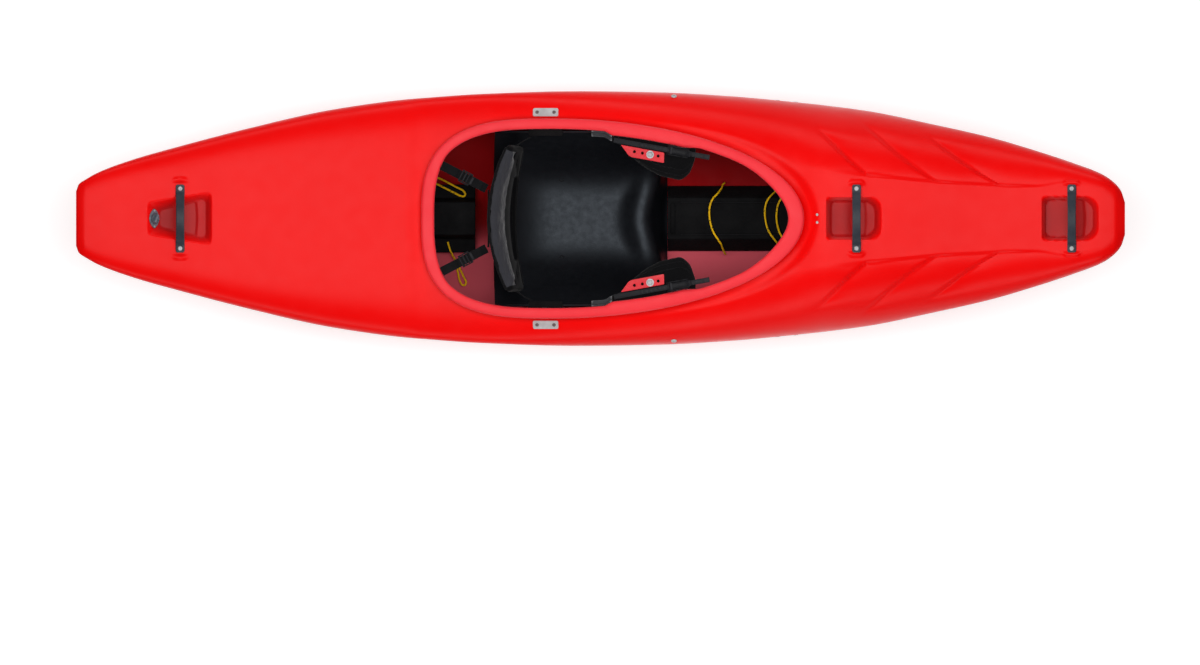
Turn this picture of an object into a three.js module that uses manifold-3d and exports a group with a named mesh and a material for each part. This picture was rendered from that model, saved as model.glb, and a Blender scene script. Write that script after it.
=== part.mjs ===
// A whitewater kayak with its outfitting. Millimetres, +X to the bow, +Y to port, +Z up.
// The origin lies on the floor under the middle of the hull's box.
import * as THREE from 'three';
import { mergeVertices } from 'three/addons/utils/BufferGeometryUtils.js';
import Module from 'manifold-3d';

const wasm = await Module();
wasm.setup();

// Clearances and overruns shared by every fit
const fit = { gap: 0.3, overrun: 3, bore: 0.35 };

// Hull shell
const hull = { length: 2700, beam: 660, depth: 383, wall: 6, sternSolid: 46, bowSolid: 34 };

// Lines of the hull, stern to bow. Places along are shares of the length, half breadths are
// shares of half the beam, heights are shares of the depth, flats are shares of the half breadth:
// place, half breadth, keel, sheer, deck, bottom flat, deck flat, bottom power, deck power
const lineShares = [
  [-0.5, 0.212, 0.773, 0.782, 0.791, 0.3, 0.4, 2.2, 2.2],
  [-0.4974, 0.267, 0.76, 0.779, 0.803, 0.3, 0.45, 2.2, 2.3],
  [-0.4907, 0.306, 0.747, 0.773, 0.815, 0.3, 0.5, 2.2, 2.4],
  [-0.4778, 0.364, 0.718, 0.755, 0.813, 0.3, 0.55, 2.3, 2.5],
  [-0.4444, 0.464, 0.645, 0.7, 0.783, 0.3, 0.55, 2.4, 2.6],
  [-0.4, 0.567, 0.533, 0.637, 0.747, 0.3, 0.55, 2.5, 2.7],
  [-0.3333, 0.709, 0.386, 0.564, 0.692, 0.3, 0.55, 2.6, 2.8],
  [-0.2593, 0.845, 0.256, 0.514, 0.663, 0.3, 0.52, 2.7, 2.8],
  [-0.1889, 0.927, 0.157, 0.491, 0.642, 0.3, 0.5, 2.8, 2.8],
  [-0.1685, 0.941, 0.132, 0.487, 0.611, 0.3, 0.5, 2.8, 2.8],
  [-0.1111, 0.973, 0.073, 0.478, 0.606, 0.3, 0.5, 2.8, 2.8],
  [-0.0222, 0.994, 0, 0.473, 0.684, 0.3, 0.48, 2.8, 2.6],
  [0.0556, 0.985, 0, 0.473, 0.768, 0.3, 0.46, 2.8, 2.4],
  [0.1222, 0.956, 0, 0.48, 0.851, 0.3, 0.44, 2.8, 2.2],
  [0.1852, 0.909, 0.018, 0.501, 0.935, 0.3, 0.42, 2.7, 1.9],
  [0.2185, 0.879, 0.042, 0.514, 0.997, 0.3, 0.41, 2.6, 1.7],
  [0.2593, 0.833, 0.086, 0.538, 0.966, 0.28, 0.39, 2.5, 1.7],
  [0.3148, 0.739, 0.18, 0.59, 0.922, 0.26, 0.38, 2.4, 1.7],
  [0.3704, 0.636, 0.311, 0.65, 0.896, 0.24, 0.4, 2.3, 1.8],
  [0.4148, 0.53, 0.457, 0.721, 0.903, 0.22, 0.46, 2.2, 2],
  [0.4519, 0.43, 0.614, 0.789, 0.927, 0.2, 0.62, 2.1, 2.1],
  [0.4778, 0.348, 0.739, 0.849, 0.949, 0.2, 0.6, 2.1, 2.2],
  [0.4896, 0.282, 0.802, 0.88, 0.944, 0.2, 0.5, 2.1, 2.2],
  [0.4963, 0.215, 0.841, 0.893, 0.924, 0.2, 0.4, 2.1, 2.1],
  [0.5, 0.127, 0.885, 0.897, 0.909, 0.2, 0.3, 2.1, 2.1],
];

// Feathered scoops of the foredeck: how far from the bow each starts at the plateau's edge, how
// far it sweeps aft and how far it reaches outboard
const feather = { depth: 7, run: 75, edge: 26 };
const feathers = [
  { fromBow: 660, sweep: 150, reach: 120 },
  { fromBow: 480, sweep: 235, reach: 160 },
  { fromBow: 315, sweep: 225, reach: 135 },
];

// Cockpit rim: an egg, blunt aft and an ellipse forward
const rim = {
  middleX: -125, aftLength: 337, foreLength: 649, sideDeck: 72.5, aftPower: 2.95, forePower: 2,
  band: 27, aftExtra: 7, foreExtra: 14, hookExtra: 9, hookAft: 514, hookFore: 256, hookEase: 26,
  lip: 15, riser: 8, skirt: 34, round: 5, segments: 60,
};
const rimHalf = hull.beam / 2 - rim.sideDeck;
const rimAft = rim.middleX - rim.aftLength;
const rimFore = rim.middleX + rim.foreLength;
// Height of the rim's top along its length: place as a share of the hull's length, share of depth
const rimTopShares = [
  [-0.175, 0.658], [-0.1565, 0.664], [-0.067, 0.71], [0.004, 0.774], [0.075, 0.862],
  [0.1463, 0.946], [0.195, 1.017],
];

// Recesses under the grab handles, on the centreline: their middles from the stern, the rim and
// the bow, then top and floor outlines and depth
const pocketPlace = { fromStern: 266, aheadOfRim: 128, fromBow: 141 };
const pockets = {
  stern: { x: pocketPlace.fromStern - hull.length / 2, length: 167, aftHalf: 44, foreHalf: 66,
    depth: 30, aftSlope: 34, foreSlope: 18, sideSlope: 20, corner: 10 },
  cockpit: { x: rimFore + pocketPlace.aheadOfRim, length: 144, aftHalf: 55, foreHalf: 55,
    depth: 38, aftSlope: 14, foreSlope: 21, sideSlope: 11, corner: 30 },
  bow: { x: hull.length / 2 - pocketPlace.fromBow, length: 147, aftHalf: 57, foreHalf: 57,
    depth: 30, aftSlope: 12, foreSlope: 17, sideSlope: 10, corner: 34 },
};

// Grab handles and their bolts
const handle = { span: 175, width: 23, thickness: 5, rise: 21, boltInset: 10.5, foot: 24 };
const handleBolt = { shank: 6, head: 12, headHeight: 3.4, length: 18 };
// How far each handle's middle lies ahead of its recess's middle
const handleLead = { stern: 2, cockpit: 7, bow: 4 };
const handlePlaces = Object.entries(pockets).map(([name, { x }]) => [name, x + handleLead[name]]);

// Drain plug on the aft slope of the stern recess
const drain = { tube: 22, bore: 18, tubeLength: 15, bezelLength: 52, bezelWidth: 36, bezel: 3,
  head: 26, headHeight: 5, grip: 6, gripLength: 22, gripHeight: 5, stem: 17.2, stemLength: 12,
  alongShare: 0.52 };

// Seat pan, its deck plates and hip brackets
const seat = { rearX: -272, frontX: 172, rimInset: 36.5, wall: 5, bowl: 34, aftRise: 62,
  lipRise: 34, wingDrop: 2, flangeReach: 62, flangeStart: -185, flangeEnd: -98, flangeRoot: 8 };
const seatHalf = rimHalf - seat.rimInset;
// Places of the seat's forms as shares of its length, and the powers of its sides
const seatShares = { aft: 0.36, lip: 0.86, lipWidth: 0.1, drop: 0.93, sidePower: 3.1 };
const seatMesh = { acrossSegments: 12, alongSegments: 13 };
const seatPlate = { x: -141, sideInset: 57, length: 66, width: 22, thickness: 2.5, corner: 4,
  screwSpacing: 44, shank: 5, head: 9, headHeight: 2.2, tail: 18 };
const seatPlateY = hull.beam / 2 - seatPlate.sideInset;
const hipBracket = { aftOfBrace: 27, length: 52, width: 15, height: 24, wall: 4, below: 5 };

// Backband, its shell and its webbing
const backband = { x: -281, endX: -237, sideInset: 35, bottom: 138, top: 304, endBottom: 204,
  endTop: 290, leanShare: 0.33, thickness: 24, shell: 3, shellDrop: 22, crown: 5, segments: 16 };
const bandHalf = seatHalf - backband.sideInset;
const webbing = { width: 24, thickness: 3, buckleLength: 30, buckleWidth: 32, buckle: 9 };
const rearStrap = { rimReach: 26, endX: -288, endY: 74, z: 262, tab: 20, buckleAt: 68 };
const sideStrap = { endX: -178, seatInset: 11, z: 246 };
const tieCord = { diameter: 5, behind: 4 };

// Thigh braces and ratchets. Their frame lies on the brace's top, along the ladder strap
const brace = { aftOfRim: 494, length: 215, width: 80, thickness: 24, droop: 16, below: 9,
  frameReach: 170, frameGap: 2.4, yawShare: 0.8, edge: 6,
  stationShares: [0, 0.05, 0.12, 0.22, 0.34, 0.46, 0.6, 0.74, 0.86, 0.95, 1] };
const braceStart = rimFore - brace.aftOfRim;
const braceEnd = braceStart + brace.length;
const braceFrameX = braceStart + brace.frameReach;
// Width of the brace along its length, as shares of its length and of its greatest width
const braceWidthShares = [[0, 0.1], [0.1, 0.1875], [0.27, 0.6], [0.45, 0.875], [0.62, 1], [0.78, 1],
  [0.92, 0.75], [1, 0.275]];
const bracePlate = { start: -150, end: -31, outer: -9, inner: -35, nose: 28, thickness: 4, hole: 8,
  pitch: 21, firstHole: -112, holeCount: 4, boltIndex: 2, holeLine: -20 };
const braceBolt = { shank: 7.2, head: 14, headHeight: 6, washer: 20, washerHeight: 1.8, tail: 16 };
const ratchet = { length: 58, width: 25, floor: 3, cheek: 3, height: 15, pin: 5, pinX: -16,
  pinZ: 12.5, knuckle: 11, lever: 52, leverGap: 1, leverThickness: 4 };
const ladder = { sideGap: 3, thickness: 2.6, start: -170, end: 84, tooth: 12, toothGap: 5,
  toothHeight: 0.9, tail: 70 };

// Beams on the hull's floor
const frontBeam = { aheadOfSeat: 1, end: 560, half: 84, shoulderHalf: 57, topHalf: 52, innerHalf: 45,
  height: 72, ridge: 4, foot: 12, sunk: 8, slotReach: 13, slotLength: 15, slotHalf: 40, slotDepth: 10 };
const pillar = { start: -560, end: -322, half: 88, rootHalf: 52, topHalf: 42, height: 120, foot: 24,
  sunk: 8 };

// Footrest: a plate on two cranked arms that slide in sleeves bolted to the hull's sides
const footrest = { plateX: 640, plate: 14, bottom: 84, shoulder: 122, top: 232, footInset: 114,
  sideInset: 54, armReach: 90, crankRun: 42, armHeight: 22, arm: 6, armInset: 49, armZ: 133,
  sleeveReach: 160, sleeve: 92, sleeveHeight: 34, sleeveWall: 4 };
const sleeveX = footrest.plateX - footrest.sleeveReach;
const sideBolt = { shank: 6, head: 15, headHeight: 3.2, nut: 12, nutHeight: 6, standOff: 3.8 };
const footBolts = { aft: 24, fore: 23, aftZ: 130, foreZ: 135, reach: 30 };
const braceSideBolt = { x: 189, z: 232 };
const deckScrew = { aheadOfRim: 34, spacing: 20, head: 7, headHeight: 1.6, shank: 4, tail: 12 };

// Lashing cords. Each route is a list of points chosen by hand
const cord = { diameter: 5, segments: 8, step: 17 };
const cordRoutes = {
  front_cord_aft: [[320, 92, 22], [316, 88, 34], [310, 76, 55], [301, 64, 73], [290, 52, 80],
    [283, 38, 80], [280, 20, 79], [281, 0, 79], [285, -20, 79], [292, -38, 80], [301, -52, 80],
    [309, -64, 72], [314, -76, 55], [319, -88, 34], [322, -92, 22]],
  front_cord_middle: [[466, 92, 30], [463, 88, 38], [456, 76, 56], [444, 64, 73], [433, 52, 80],
    [426, 38, 80], [423, 20, 79], [424, 0, 79], [428, -20, 79], [436, -38, 80], [446, -52, 80],
    [455, -64, 72], [460, -76, 55], [465, -88, 38], [467, -92, 30]],
  front_cord_fore: [[496, 92, 34], [494, 88, 42], [488, 76, 58], [478, 64, 74], [466, 52, 80],
    [458, 38, 80], [454, 20, 79], [453, 0, 79], [456, -20, 79], [462, -38, 80], [470, -52, 80],
    [479, -64, 73], [486, -76, 57], [492, -88, 42], [494, -92, 34]],
  rear_cord_left: [[-452, 104, 62], [-438, 98, 67], [-420, 88, 80], [-398, 77, 82], [-378, 67, 81],
    [-362, 59, 80], [-352, 57, 77], [-348, 63, 75], [-354, 72, 75], [-372, 81, 76],
    [-392, 92, 74], [-412, 102, 63], [-430, 108, 60], [-445, 112, 61]],
  rear_cord_right: [[-393, -60, 75], [-390, -72, 75], [-386, -84, 75], [-380, -96, 69],
    [-373, -108, 57], [-365, -122, 49], [-357, -140, 49], [-350, -154, 50], [-346, -165, 52],
    [-350, -172, 53], [-357, -170, 53], [-363, -158, 51], [-366, -144, 50], [-369, -130, 50],
    [-373, -118, 52]],
};

const colours = {
  hull: 0xf52f2f, rim: 0xf0414a, black: 0x151618, pad: 0x1b1c1f, grey: 0x8a8c92, steel: 0xb9bbc0,
  red: 0xe23b45, yellow: 0xd9b514, plug: 0x5a636e,
};

const kayak = new THREE.Group();

function material(colour, roughness, metalness) {
  return new THREE.MeshStandardMaterial({ color: colour, roughness, metalness });
}
const finishes = {
  hull: material(colours.hull, 0.35, 0),
  rim: material(colours.rim, 0.45, 0),
  plastic: material(colours.black, 0.45, 0),
  webbing: material(colours.pad, 0.85, 0),
  foam: material(colours.pad, 0.9, 0),
  fabric: material(colours.grey, 0.8, 0),
  steel: material(colours.steel, 0.3, 1),
  plate: material(colours.red, 0.4, 0),
  cord: material(colours.yellow, 0.7, 0),
  plug: material(colours.plug, 0.4, 0.2),
};

// A smooth curve through [place, value] rows that never overshoots them
function curveThrough(rows, column = 1) {
  const xs = rows.map((r) => r[0]);
  const ys = rows.map((r) => r[column]);
  const slopes = xs.slice(1).map((x, i) => (ys[i + 1] - ys[i]) / (x - xs[i]));
  const tangents = xs.map((x, i) => {
    if (i === 0) return slopes[0];
    if (i === xs.length - 1) return slopes[i - 1];
    if (slopes[i - 1] * slopes[i] <= 0) return 0;
    return 2 * slopes[i - 1] * slopes[i] / (slopes[i - 1] + slopes[i]);
  });
  return (x) => {
    if (x <= xs[0]) return ys[0];
    if (x >= xs[xs.length - 1]) return ys[ys.length - 1];
    let i = 0;
    while (x > xs[i + 1]) i += 1;
    const span = xs[i + 1] - xs[i];
    const t = (x - xs[i]) / span;
    const a = (1 + 2 * t) * (1 - t) ** 2;
    const b = t * (1 - t) ** 2;
    const c = t * t * (3 - 2 * t);
    const d = t * t * (t - 1);
    return a * ys[i] + b * span * tangents[i] + c * ys[i + 1] + d * span * tangents[i + 1];
  };
}

function smoothStep(x, from, to) {
  const t = Math.min(1, Math.max(0, (x - from) / (to - from)));
  return t * t * (3 - 2 * t);
}

const lineCurves = lineShares[0].slice(1).map((_, i) => curveThrough(lineShares, i + 1));

// The hull's section at a place along it
function section(x) {
  const [half, keel, sheer, deck, floorFlat, deckFlat, floorPower, deckPower] =
    lineCurves.map((curve) => curve(x / hull.length));
  const halfBeam = half * hull.beam / 2;
  return {
    halfBeam, keel: keel * hull.depth, sheer: sheer * hull.depth, deck: deck * hull.depth,
    floorFlat: floorFlat * halfBeam, deckFlat: deckFlat * halfBeam, floorPower, deckPower,
  };
}

// How deep the feathered scoops lie under the fair deck
function featherDrop(x, y) {
  const outboard = Math.abs(y) - section(x).deckFlat;
  if (outboard <= 0) return 0;
  return Math.max(...feathers.map(({ fromBow, sweep, reach }) => {
    const share = outboard / reach;
    const ahead = x - (hull.length / 2 - fromBow - sweep * share ** 0.8);
    if (share >= 1 || ahead <= 0) return 0;
    const fade = Math.sin(Math.PI * Math.min(1, share + 0.25));
    return feather.depth * fade * smoothStep(ahead, 0, feather.edge)
      * Math.exp(-ahead / feather.run);
  }));
}

function deckHeight(x, y, inset = 0) {
  const s = section(x);
  const out = Math.abs(y) - s.deckFlat;
  const top = s.deck - inset;
  if (out <= 0) return top;
  const share = Math.min(1, out / (s.halfBeam - inset - s.deckFlat));
  const rise = (1 - share ** s.deckPower) ** (1 / s.deckPower);
  return s.sheer + (top - s.sheer) * rise - featherDrop(x, y);
}

function floorHeight(x, y, inset = 0) {
  const s = section(x);
  const out = Math.abs(y) - s.floorFlat;
  const bottom = s.keel + inset;
  if (out <= 0) return bottom;
  const share = Math.min(1, out / (s.halfBeam - inset - s.floorFlat));
  return s.sheer - (s.sheer - bottom) * (1 - share ** s.floorPower) ** (1 / s.floorPower);
}

// Half breadth of the hull at a height, below or above the sheer
function breadthAt(x, z, inset = 0) {
  const s = section(x);
  const below = z < s.sheer;
  const power = below ? s.floorPower : s.deckPower;
  const flat = below ? s.floorFlat : s.deckFlat;
  const height = below ? s.sheer - s.keel - inset : s.deck - inset - s.sheer;
  const share = Math.min(1, Math.abs(s.sheer - z) / height);
  return flat + (s.halfBeam - inset - flat) * (1 - share ** power) ** (1 / power);
}

const rimCurve = curveThrough(rimTopShares.map(([x, z]) => [x * hull.length, z * hull.depth]));

// The rim's top, whose underside clears the deck from its outer to its inner edge
function rimTop(x) {
  const inner = x - Math.sign(x - rim.middleX) * bandWidth(x);
  const deck = Math.max(section(x).deck, section(inner).deck);
  return Math.max(rimCurve(x), deck + rim.lip + rim.round / 2 + fit.gap);
}

// One closed body through a run of rings that hold as many points each
function loft(rings) {
  const count = rings[0].length;
  const points = rings.flat();
  const index = [];
  for (let r = 0; r < rings.length - 1; r += 1) {
    for (let i = 0; i < count; i += 1) {
      const j = (i + 1) % count;
      const a = r * count + i;
      const b = r * count + j;
      index.push(a, b, b + count, a, b + count, a + count);
    }
  }
  for (const [r, flip] of [[0, false], [rings.length - 1, true]]) {
    const centre = rings[r].reduce((sum, p) => sum.add(p), new THREE.Vector3());
    points.push(centre.divideScalar(count));
    const tip = points.length - 1;
    for (let i = 0; i < count; i += 1) {
      const a = r * count + i;
      const b = r * count + (i + 1) % count;
      if (flip) index.push(tip, a, b);
      else index.push(tip, b, a);
    }
  }
  return closedGeometry(points, index);
}

// A closed plate between two grids of points of the same size, one over the other
function plateBetween(upper, lower) {
  const rows = upper.length;
  const columns = upper[0].length;
  const half = rows * columns;
  const index = [];
  const quad = (a, b, c, d) => index.push(a, b, c, a, c, d);
  const at = (i, j) => i * columns + j;
  for (let i = 0; i < rows - 1; i += 1) {
    for (let j = 0; j < columns - 1; j += 1) {
      const corners = [at(i, j), at(i + 1, j), at(i + 1, j + 1), at(i, j + 1)];
      quad(...corners);
      quad(...corners.reverse().map((k) => k + half));
    }
  }
  const wall = (a, b) => quad(a, b, b + half, a + half);
  for (let i = 0; i < rows - 1; i += 1) {
    wall(at(i + 1, 0), at(i, 0));
    wall(at(i, columns - 1), at(i + 1, columns - 1));
  }
  for (let j = 0; j < columns - 1; j += 1) {
    wall(at(0, j), at(0, j + 1));
    wall(at(rows - 1, j + 1), at(rows - 1, j));
  }
  return closedGeometry([...upper.flat(), ...lower.flat()], index);
}

// One closed band through rings that return to the first
function closedLoft(rings) {
  const count = rings[0].length;
  const index = [];
  rings.forEach((ring, r) => {
    const next = (r + 1) % rings.length;
    for (let i = 0; i < count; i += 1) {
      const j = (i + 1) % count;
      const [a, b] = [r * count + i, r * count + j];
      const [c, d] = [next * count + i, next * count + j];
      index.push(a, b, d, a, d, c);
    }
  });
  return closedGeometry(rings.flat(), index);
}

// A body from points and triangles, with its faces turned outward
function closedGeometry(points, index) {
  let volume = 0;
  for (let i = 0; i < index.length; i += 3) {
    const [a, b, c] = [points[index[i]], points[index[i + 1]], points[index[i + 2]]];
    volume += a.dot(b.clone().cross(c));
  }
  if (volume < 0) index.reverse();
  const geometry = new THREE.BufferGeometry();
  geometry.setAttribute('position', new THREE.Float32BufferAttribute(
    points.flatMap((p) => [p.x, p.y, p.z]), 3));
  geometry.setIndex(index);
  return geometry;
}

function solid(geometry) {
  const bare = geometry.clone();
  bare.deleteAttribute('normal');
  bare.deleteAttribute('uv');
  const merged = mergeVertices(bare);
  return new wasm.Manifold(new wasm.Mesh({
    numProp: 3,
    vertProperties: new Float32Array(merged.attributes.position.array),
    triVerts: new Uint32Array(merged.index.array),
  }));
}

function geometryOf(manifold) {
  const mesh = manifold.getMesh();
  const geometry = new THREE.BufferGeometry();
  geometry.setAttribute('position', new THREE.BufferAttribute(mesh.vertProperties, 3));
  geometry.setIndex(new THREE.BufferAttribute(mesh.triVerts, 1));
  return geometry;
}

function put(name, shape, finish, parent = kayak) {
  const geometry = shape.isBufferGeometry ? shape : geometryOf(shape);
  const mesh = new THREE.Mesh(geometry, finish);
  mesh.name = name;
  parent.add(mesh);
  return mesh;
}

function box(x0, x1, y0, y1, z0, z1) {
  const geometry = new THREE.BoxGeometry(x1 - x0, y1 - y0, z1 - z0);
  geometry.translate((x0 + x1) / 2, (y0 + y1) / 2, (z0 + z1) / 2);
  return solid(geometry);
}

// A revolved body on the Z axis from [radius, height] rows that start and end on the axis
function turned(rows, segments) {
  return new THREE.LatheGeometry(rows.map(([r, z]) => new THREE.Vector2(r, z)), segments)
    .rotateX(Math.PI / 2);
}

function prism(points, depth) {
  const shape = new THREE.Shape(points.map(([x, y]) => new THREE.Vector2(x, y)));
  return new THREE.ExtrudeGeometry(shape, { depth, bevelEnabled: false });
}

// A prism of a [y, z] outline that runs along X from the origin
function prismAlongX(points, depth) {
  return prism(points, depth).rotateX(Math.PI / 2).rotateZ(Math.PI / 2);
}

// Stations along the hull, closer together at the ends and over the scoops
function stations(from, to, zones) {
  const places = [];
  zones.forEach(([share, steps, ease], i) => {
    const start = from + (to - from) * (i ? zones[i - 1][0] : 0);
    const end = from + (to - from) * share;
    for (let k = i ? 1 : 0; k <= steps; k += 1) {
      const t = k / steps;
      places.push(start + (end - start) * (ease > 0 ? t ** ease : 1 - (1 - t) ** -ease));
    }
  });
  return places;
}

function sectionRing(x, inset, steps) {
  const s = section(x);
  const [half, keel, deck] = [s.halfBeam - inset, s.keel + inset, s.deck - inset];
  const side = [[0, keel]];
  for (let i = 0; i <= steps.floor; i += 1) {
    const angle = i / steps.floor * Math.PI / 2;
    side.push([
      s.floorFlat + (half - s.floorFlat) * Math.sin(angle) ** (2 / s.floorPower),
      s.sheer - (s.sheer - keel) * Math.max(0, Math.cos(angle)) ** (2 / s.floorPower),
    ]);
  }
  for (let i = 1; i <= steps.deck; i += 1) {
    const angle = i / steps.deck * Math.PI / 2;
    const y = s.deckFlat + (half - s.deckFlat) * Math.max(0, Math.cos(angle)) ** (2 / s.deckPower);
    const z = s.sheer + (deck - s.sheer) * Math.sin(angle) ** (2 / s.deckPower);
    side.push([y, z - featherDrop(x, y)]);
  }
  side.push([0, deck]);
  const port = side.map(([y, z]) => new THREE.Vector3(x, y, z));
  const starboard = side.slice(1, -1).reverse().map(([y, z]) => new THREE.Vector3(x, -y, z));
  return [...port, ...starboard];
}

const outerZones = [[0.04, 6, 2], [0.3, 7, 1], [0.5, 6, 1], [0.7, 6, 1], [0.89, 13, 1],
  [0.955, 4, 1], [1, 7, -2]];
const innerZones = [[0.3, 6, 1], [0.5, 4, 1], [0.7, 5, 1], [0.9, 8, 1], [1, 3, 1]];
const fineSteps = { floor: 6, deck: 7 };
const coarseSteps = { floor: 5, deck: 5 };

function skin(inset) {
  const half = hull.length / 2 - inset;
  return solid(loft(stations(-half, half, outerZones).map((x) => sectionRing(x, inset, fineSteps))));
}

// The hollow inside the hull, held back from its walls by a gap
function hollow(gap) {
  const aft = -hull.length / 2 + hull.sternSolid + gap;
  const fore = hull.length / 2 - hull.bowSolid - gap;
  const rings = stations(aft, fore, innerZones)
    .map((x) => sectionRing(x, hull.wall + gap, coarseSteps));
  return Object.values(pockets).reduce(
    (space, pocket) => space.subtract(pocketSolid(pocket, hull.wall + gap)), solid(loft(rings)));
}

// Corners of a recess outline, wider by a margin, with its forward end rounded
function pocketOutline(pocket, margin, slopeShare) {
  const aft = pocket.x - pocket.length / 2 + pocket.aftSlope * slopeShare - margin;
  const fore = pocket.x + pocket.length / 2 - pocket.foreSlope * slopeShare + margin;
  const aftHalf = pocket.aftHalf - pocket.sideSlope * slopeShare + margin;
  const foreHalf = pocket.foreHalf - pocket.sideSlope * slopeShare + margin;
  const corner = pocket.corner;
  const side = [[aft, aftHalf]];
  for (const share of [0, 0.33, 0.67, 1]) {
    const angle = share * Math.PI / 2;
    side.push([fore - corner + corner * Math.sin(angle), foreHalf - corner + corner * Math.cos(angle)]);
  }
  return [...side, ...side.slice().reverse().map(([x, y]) => [x, -y])];
}

// A recess as a solid that reaches above the deck, its walls carried on past the top
function pocketSolid(pocket, margin) {
  const ringAt = (drop, slopeShare) => pocketOutline(pocket, margin, slopeShare).map(([x, y]) =>
    new THREE.Vector3(x, y, section(x).deck - drop));
  return solid(loft([ringAt(pocket.depth + margin, 1), ringAt(-pocket.depth, -1)]));
}

// Places round the rim's outer line: point, outward direction and the band's width there
function rimLine(segments) {
  const power = (value, exponent) => Math.sign(value) * Math.abs(value) ** exponent;
  const at = (k) => {
    const angle = k / segments * Math.PI * 2;
    const fore = Math.cos(angle) >= 0;
    const exponent = 2 / (fore ? rim.forePower : rim.aftPower);
    const reach = fore ? rim.foreLength : rim.aftLength;
    return new THREE.Vector2(rim.middleX + reach * power(Math.cos(angle), exponent),
      rimHalf * power(Math.sin(angle), exponent));
  };
  return Array.from({ length: segments }, (_, k) => {
    const point = at(k);
    const along = at(k + 0.2).sub(at(k - 0.2)).normalize();
    return { point, out: new THREE.Vector2(along.y, -along.x), band: bandWidth(point.x) };
  });
}

function hookShare(x) {
  const [start, end] = [rimFore - rim.hookAft, rimFore - rim.hookFore];
  return smoothStep(x, start, start + rim.hookEase)
    * (1 - smoothStep(x, end - 2 * rim.hookEase, end));
}

function bandWidth(x) {
  return rim.band + rim.aftExtra * (1 - smoothStep(x, rimAft, rimAft + rim.band * 2))
    + rim.foreExtra * smoothStep(x, rimFore - rim.band * 6, rimFore)
    + rim.hookExtra * hookShare(x);
}

// Half width of the cockpit's clear opening at a place
function openingHalf(x) {
  const fore = x >= rim.middleX;
  const power = fore ? rim.forePower : rim.aftPower;
  const share = Math.min(1, Math.abs(x - rim.middleX) / (fore ? rim.foreLength : rim.aftLength));
  return rimHalf * (1 - share ** power) ** (1 / power) - bandWidth(x);
}

// The cockpit's rim, its skirt thicker by a margin
function cockpitRim(margin) {
  const riser = rim.riser + margin;
  const profile = (band) => [
    [0, -rim.lip / 2], [rim.round / 3, -rim.round / 2], [rim.round, 0], [band / 2, rim.round / 8],
    [band - rim.round, 0], [band - rim.round / 4, -rim.round / 2], [band, -rim.round * 2],
    [band, -rim.skirt - margin], [band - riser, -rim.skirt - margin],
    [band - riser, -rim.lip - rim.round / 2], [rim.round, -rim.lip],
    [rim.round / 4, -rim.lip * 0.8],
  ];
  return closedLoft(rimLine(rim.segments).map(({ point, out, band }) =>
    profile(band).map(([inward, height]) => new THREE.Vector3(point.x - out.x * inward,
      point.y - out.y * inward, rimTop(point.x) + height))));
}

function cockpitCut() {
  const line = rimLine(rim.segments).map(({ point, out, band }) => {
    const inward = band - rim.riser - fit.gap;
    return [point.x - out.x * inward, point.y - out.y * inward];
  });
  const geometry = prism(line, hull.depth);
  geometry.translate(0, 0, hull.depth / 2);
  return solid(geometry);
}

// The clear space inside the rim, a gap and a margin away from it
function rimOpening(margin) {
  const line = rimLine(rim.segments).map(({ point, out, band }) => {
    const inward = band + fit.gap + margin;
    return [point.x - out.x * inward, point.y - out.y * inward];
  });
  return solid(prism(line, 2 * hull.depth));
}

// Drill along an axis: a plain round cut of a given diameter
function drill(from, to, diameter, segments = 8) {
  const length = from.distanceTo(to);
  const geometry = new THREE.CylinderGeometry(diameter / 2, diameter / 2, length, segments);
  geometry.applyQuaternion(new THREE.Quaternion().setFromUnitVectors(
    new THREE.Vector3(0, 1, 0), to.clone().sub(from).normalize()));
  const middle = from.clone().add(to).multiplyScalar(0.5);
  geometry.translate(middle.x, middle.y, middle.z);
  return solid(geometry);
}

// The frame of the drain on the aft slope of the stern recess
function drainFrame() {
  const pocket = pockets.stern;
  const topX = pocket.x - pocket.length / 2;
  const floorX = topX + pocket.aftSlope;
  const top = new THREE.Vector3(topX, 0, section(topX).deck);
  const foot = new THREE.Vector3(floorX, 0, section(floorX).deck - pocket.depth);
  const angle = Math.atan2(top.z - foot.z, floorX - topX);
  const normal = new THREE.Vector3(Math.sin(angle), 0, Math.cos(angle));
  return { point: top.lerp(foot, drain.alongShare), normal, angle };
}

const handleBolts = handlePlaces.flatMap(([name, x]) => [1, -1].map((side) => ({
  name: `handle_bolt_${name}_${side > 0 ? 'left' : 'right'}`,
  x, y: side * (handle.span / 2 - handle.boltInset),
})));
const seatScrews = [1, -1].flatMap((side) => [1, -1].map((end) => ({
  plate: { x: seatPlate.x, y: side * seatPlateY }, along: end * seatPlate.screwSpacing / 2,
})));
const sideBolts = [1, -1].flatMap((side) => [
  { name: 'brace_side_bolt', x: braceSideBolt.x, z: braceSideBolt.z, reach: 0 },
  { name: 'footrest_bolt_rear', x: sleeveX - footBolts.aft, z: footBolts.aftZ,
    reach: footBolts.reach },
  { name: 'footrest_bolt_front', x: sleeveX + footBolts.fore, z: footBolts.foreZ,
    reach: footBolts.reach },
].map(({ name, x, z, reach }) => ({
  name: `${name}_${side > 0 ? 'left' : 'right'}`, side, reach,
  point: new THREE.Vector3(x, side * breadthAt(x, z), z), normal: sideNormal(x, z, side),
})));
const deckScrews = [1, -1].map((side) => {
  const [x, y] = [rimFore + deckScrew.aheadOfRim, side * deckScrew.spacing / 2];
  return { name: `deck_screw_${side > 0 ? 'left' : 'right'}`, normal: deckNormal(x, y, hull.wall),
    point: new THREE.Vector3(x, y, skinHeight(x, y)) };
});

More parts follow.
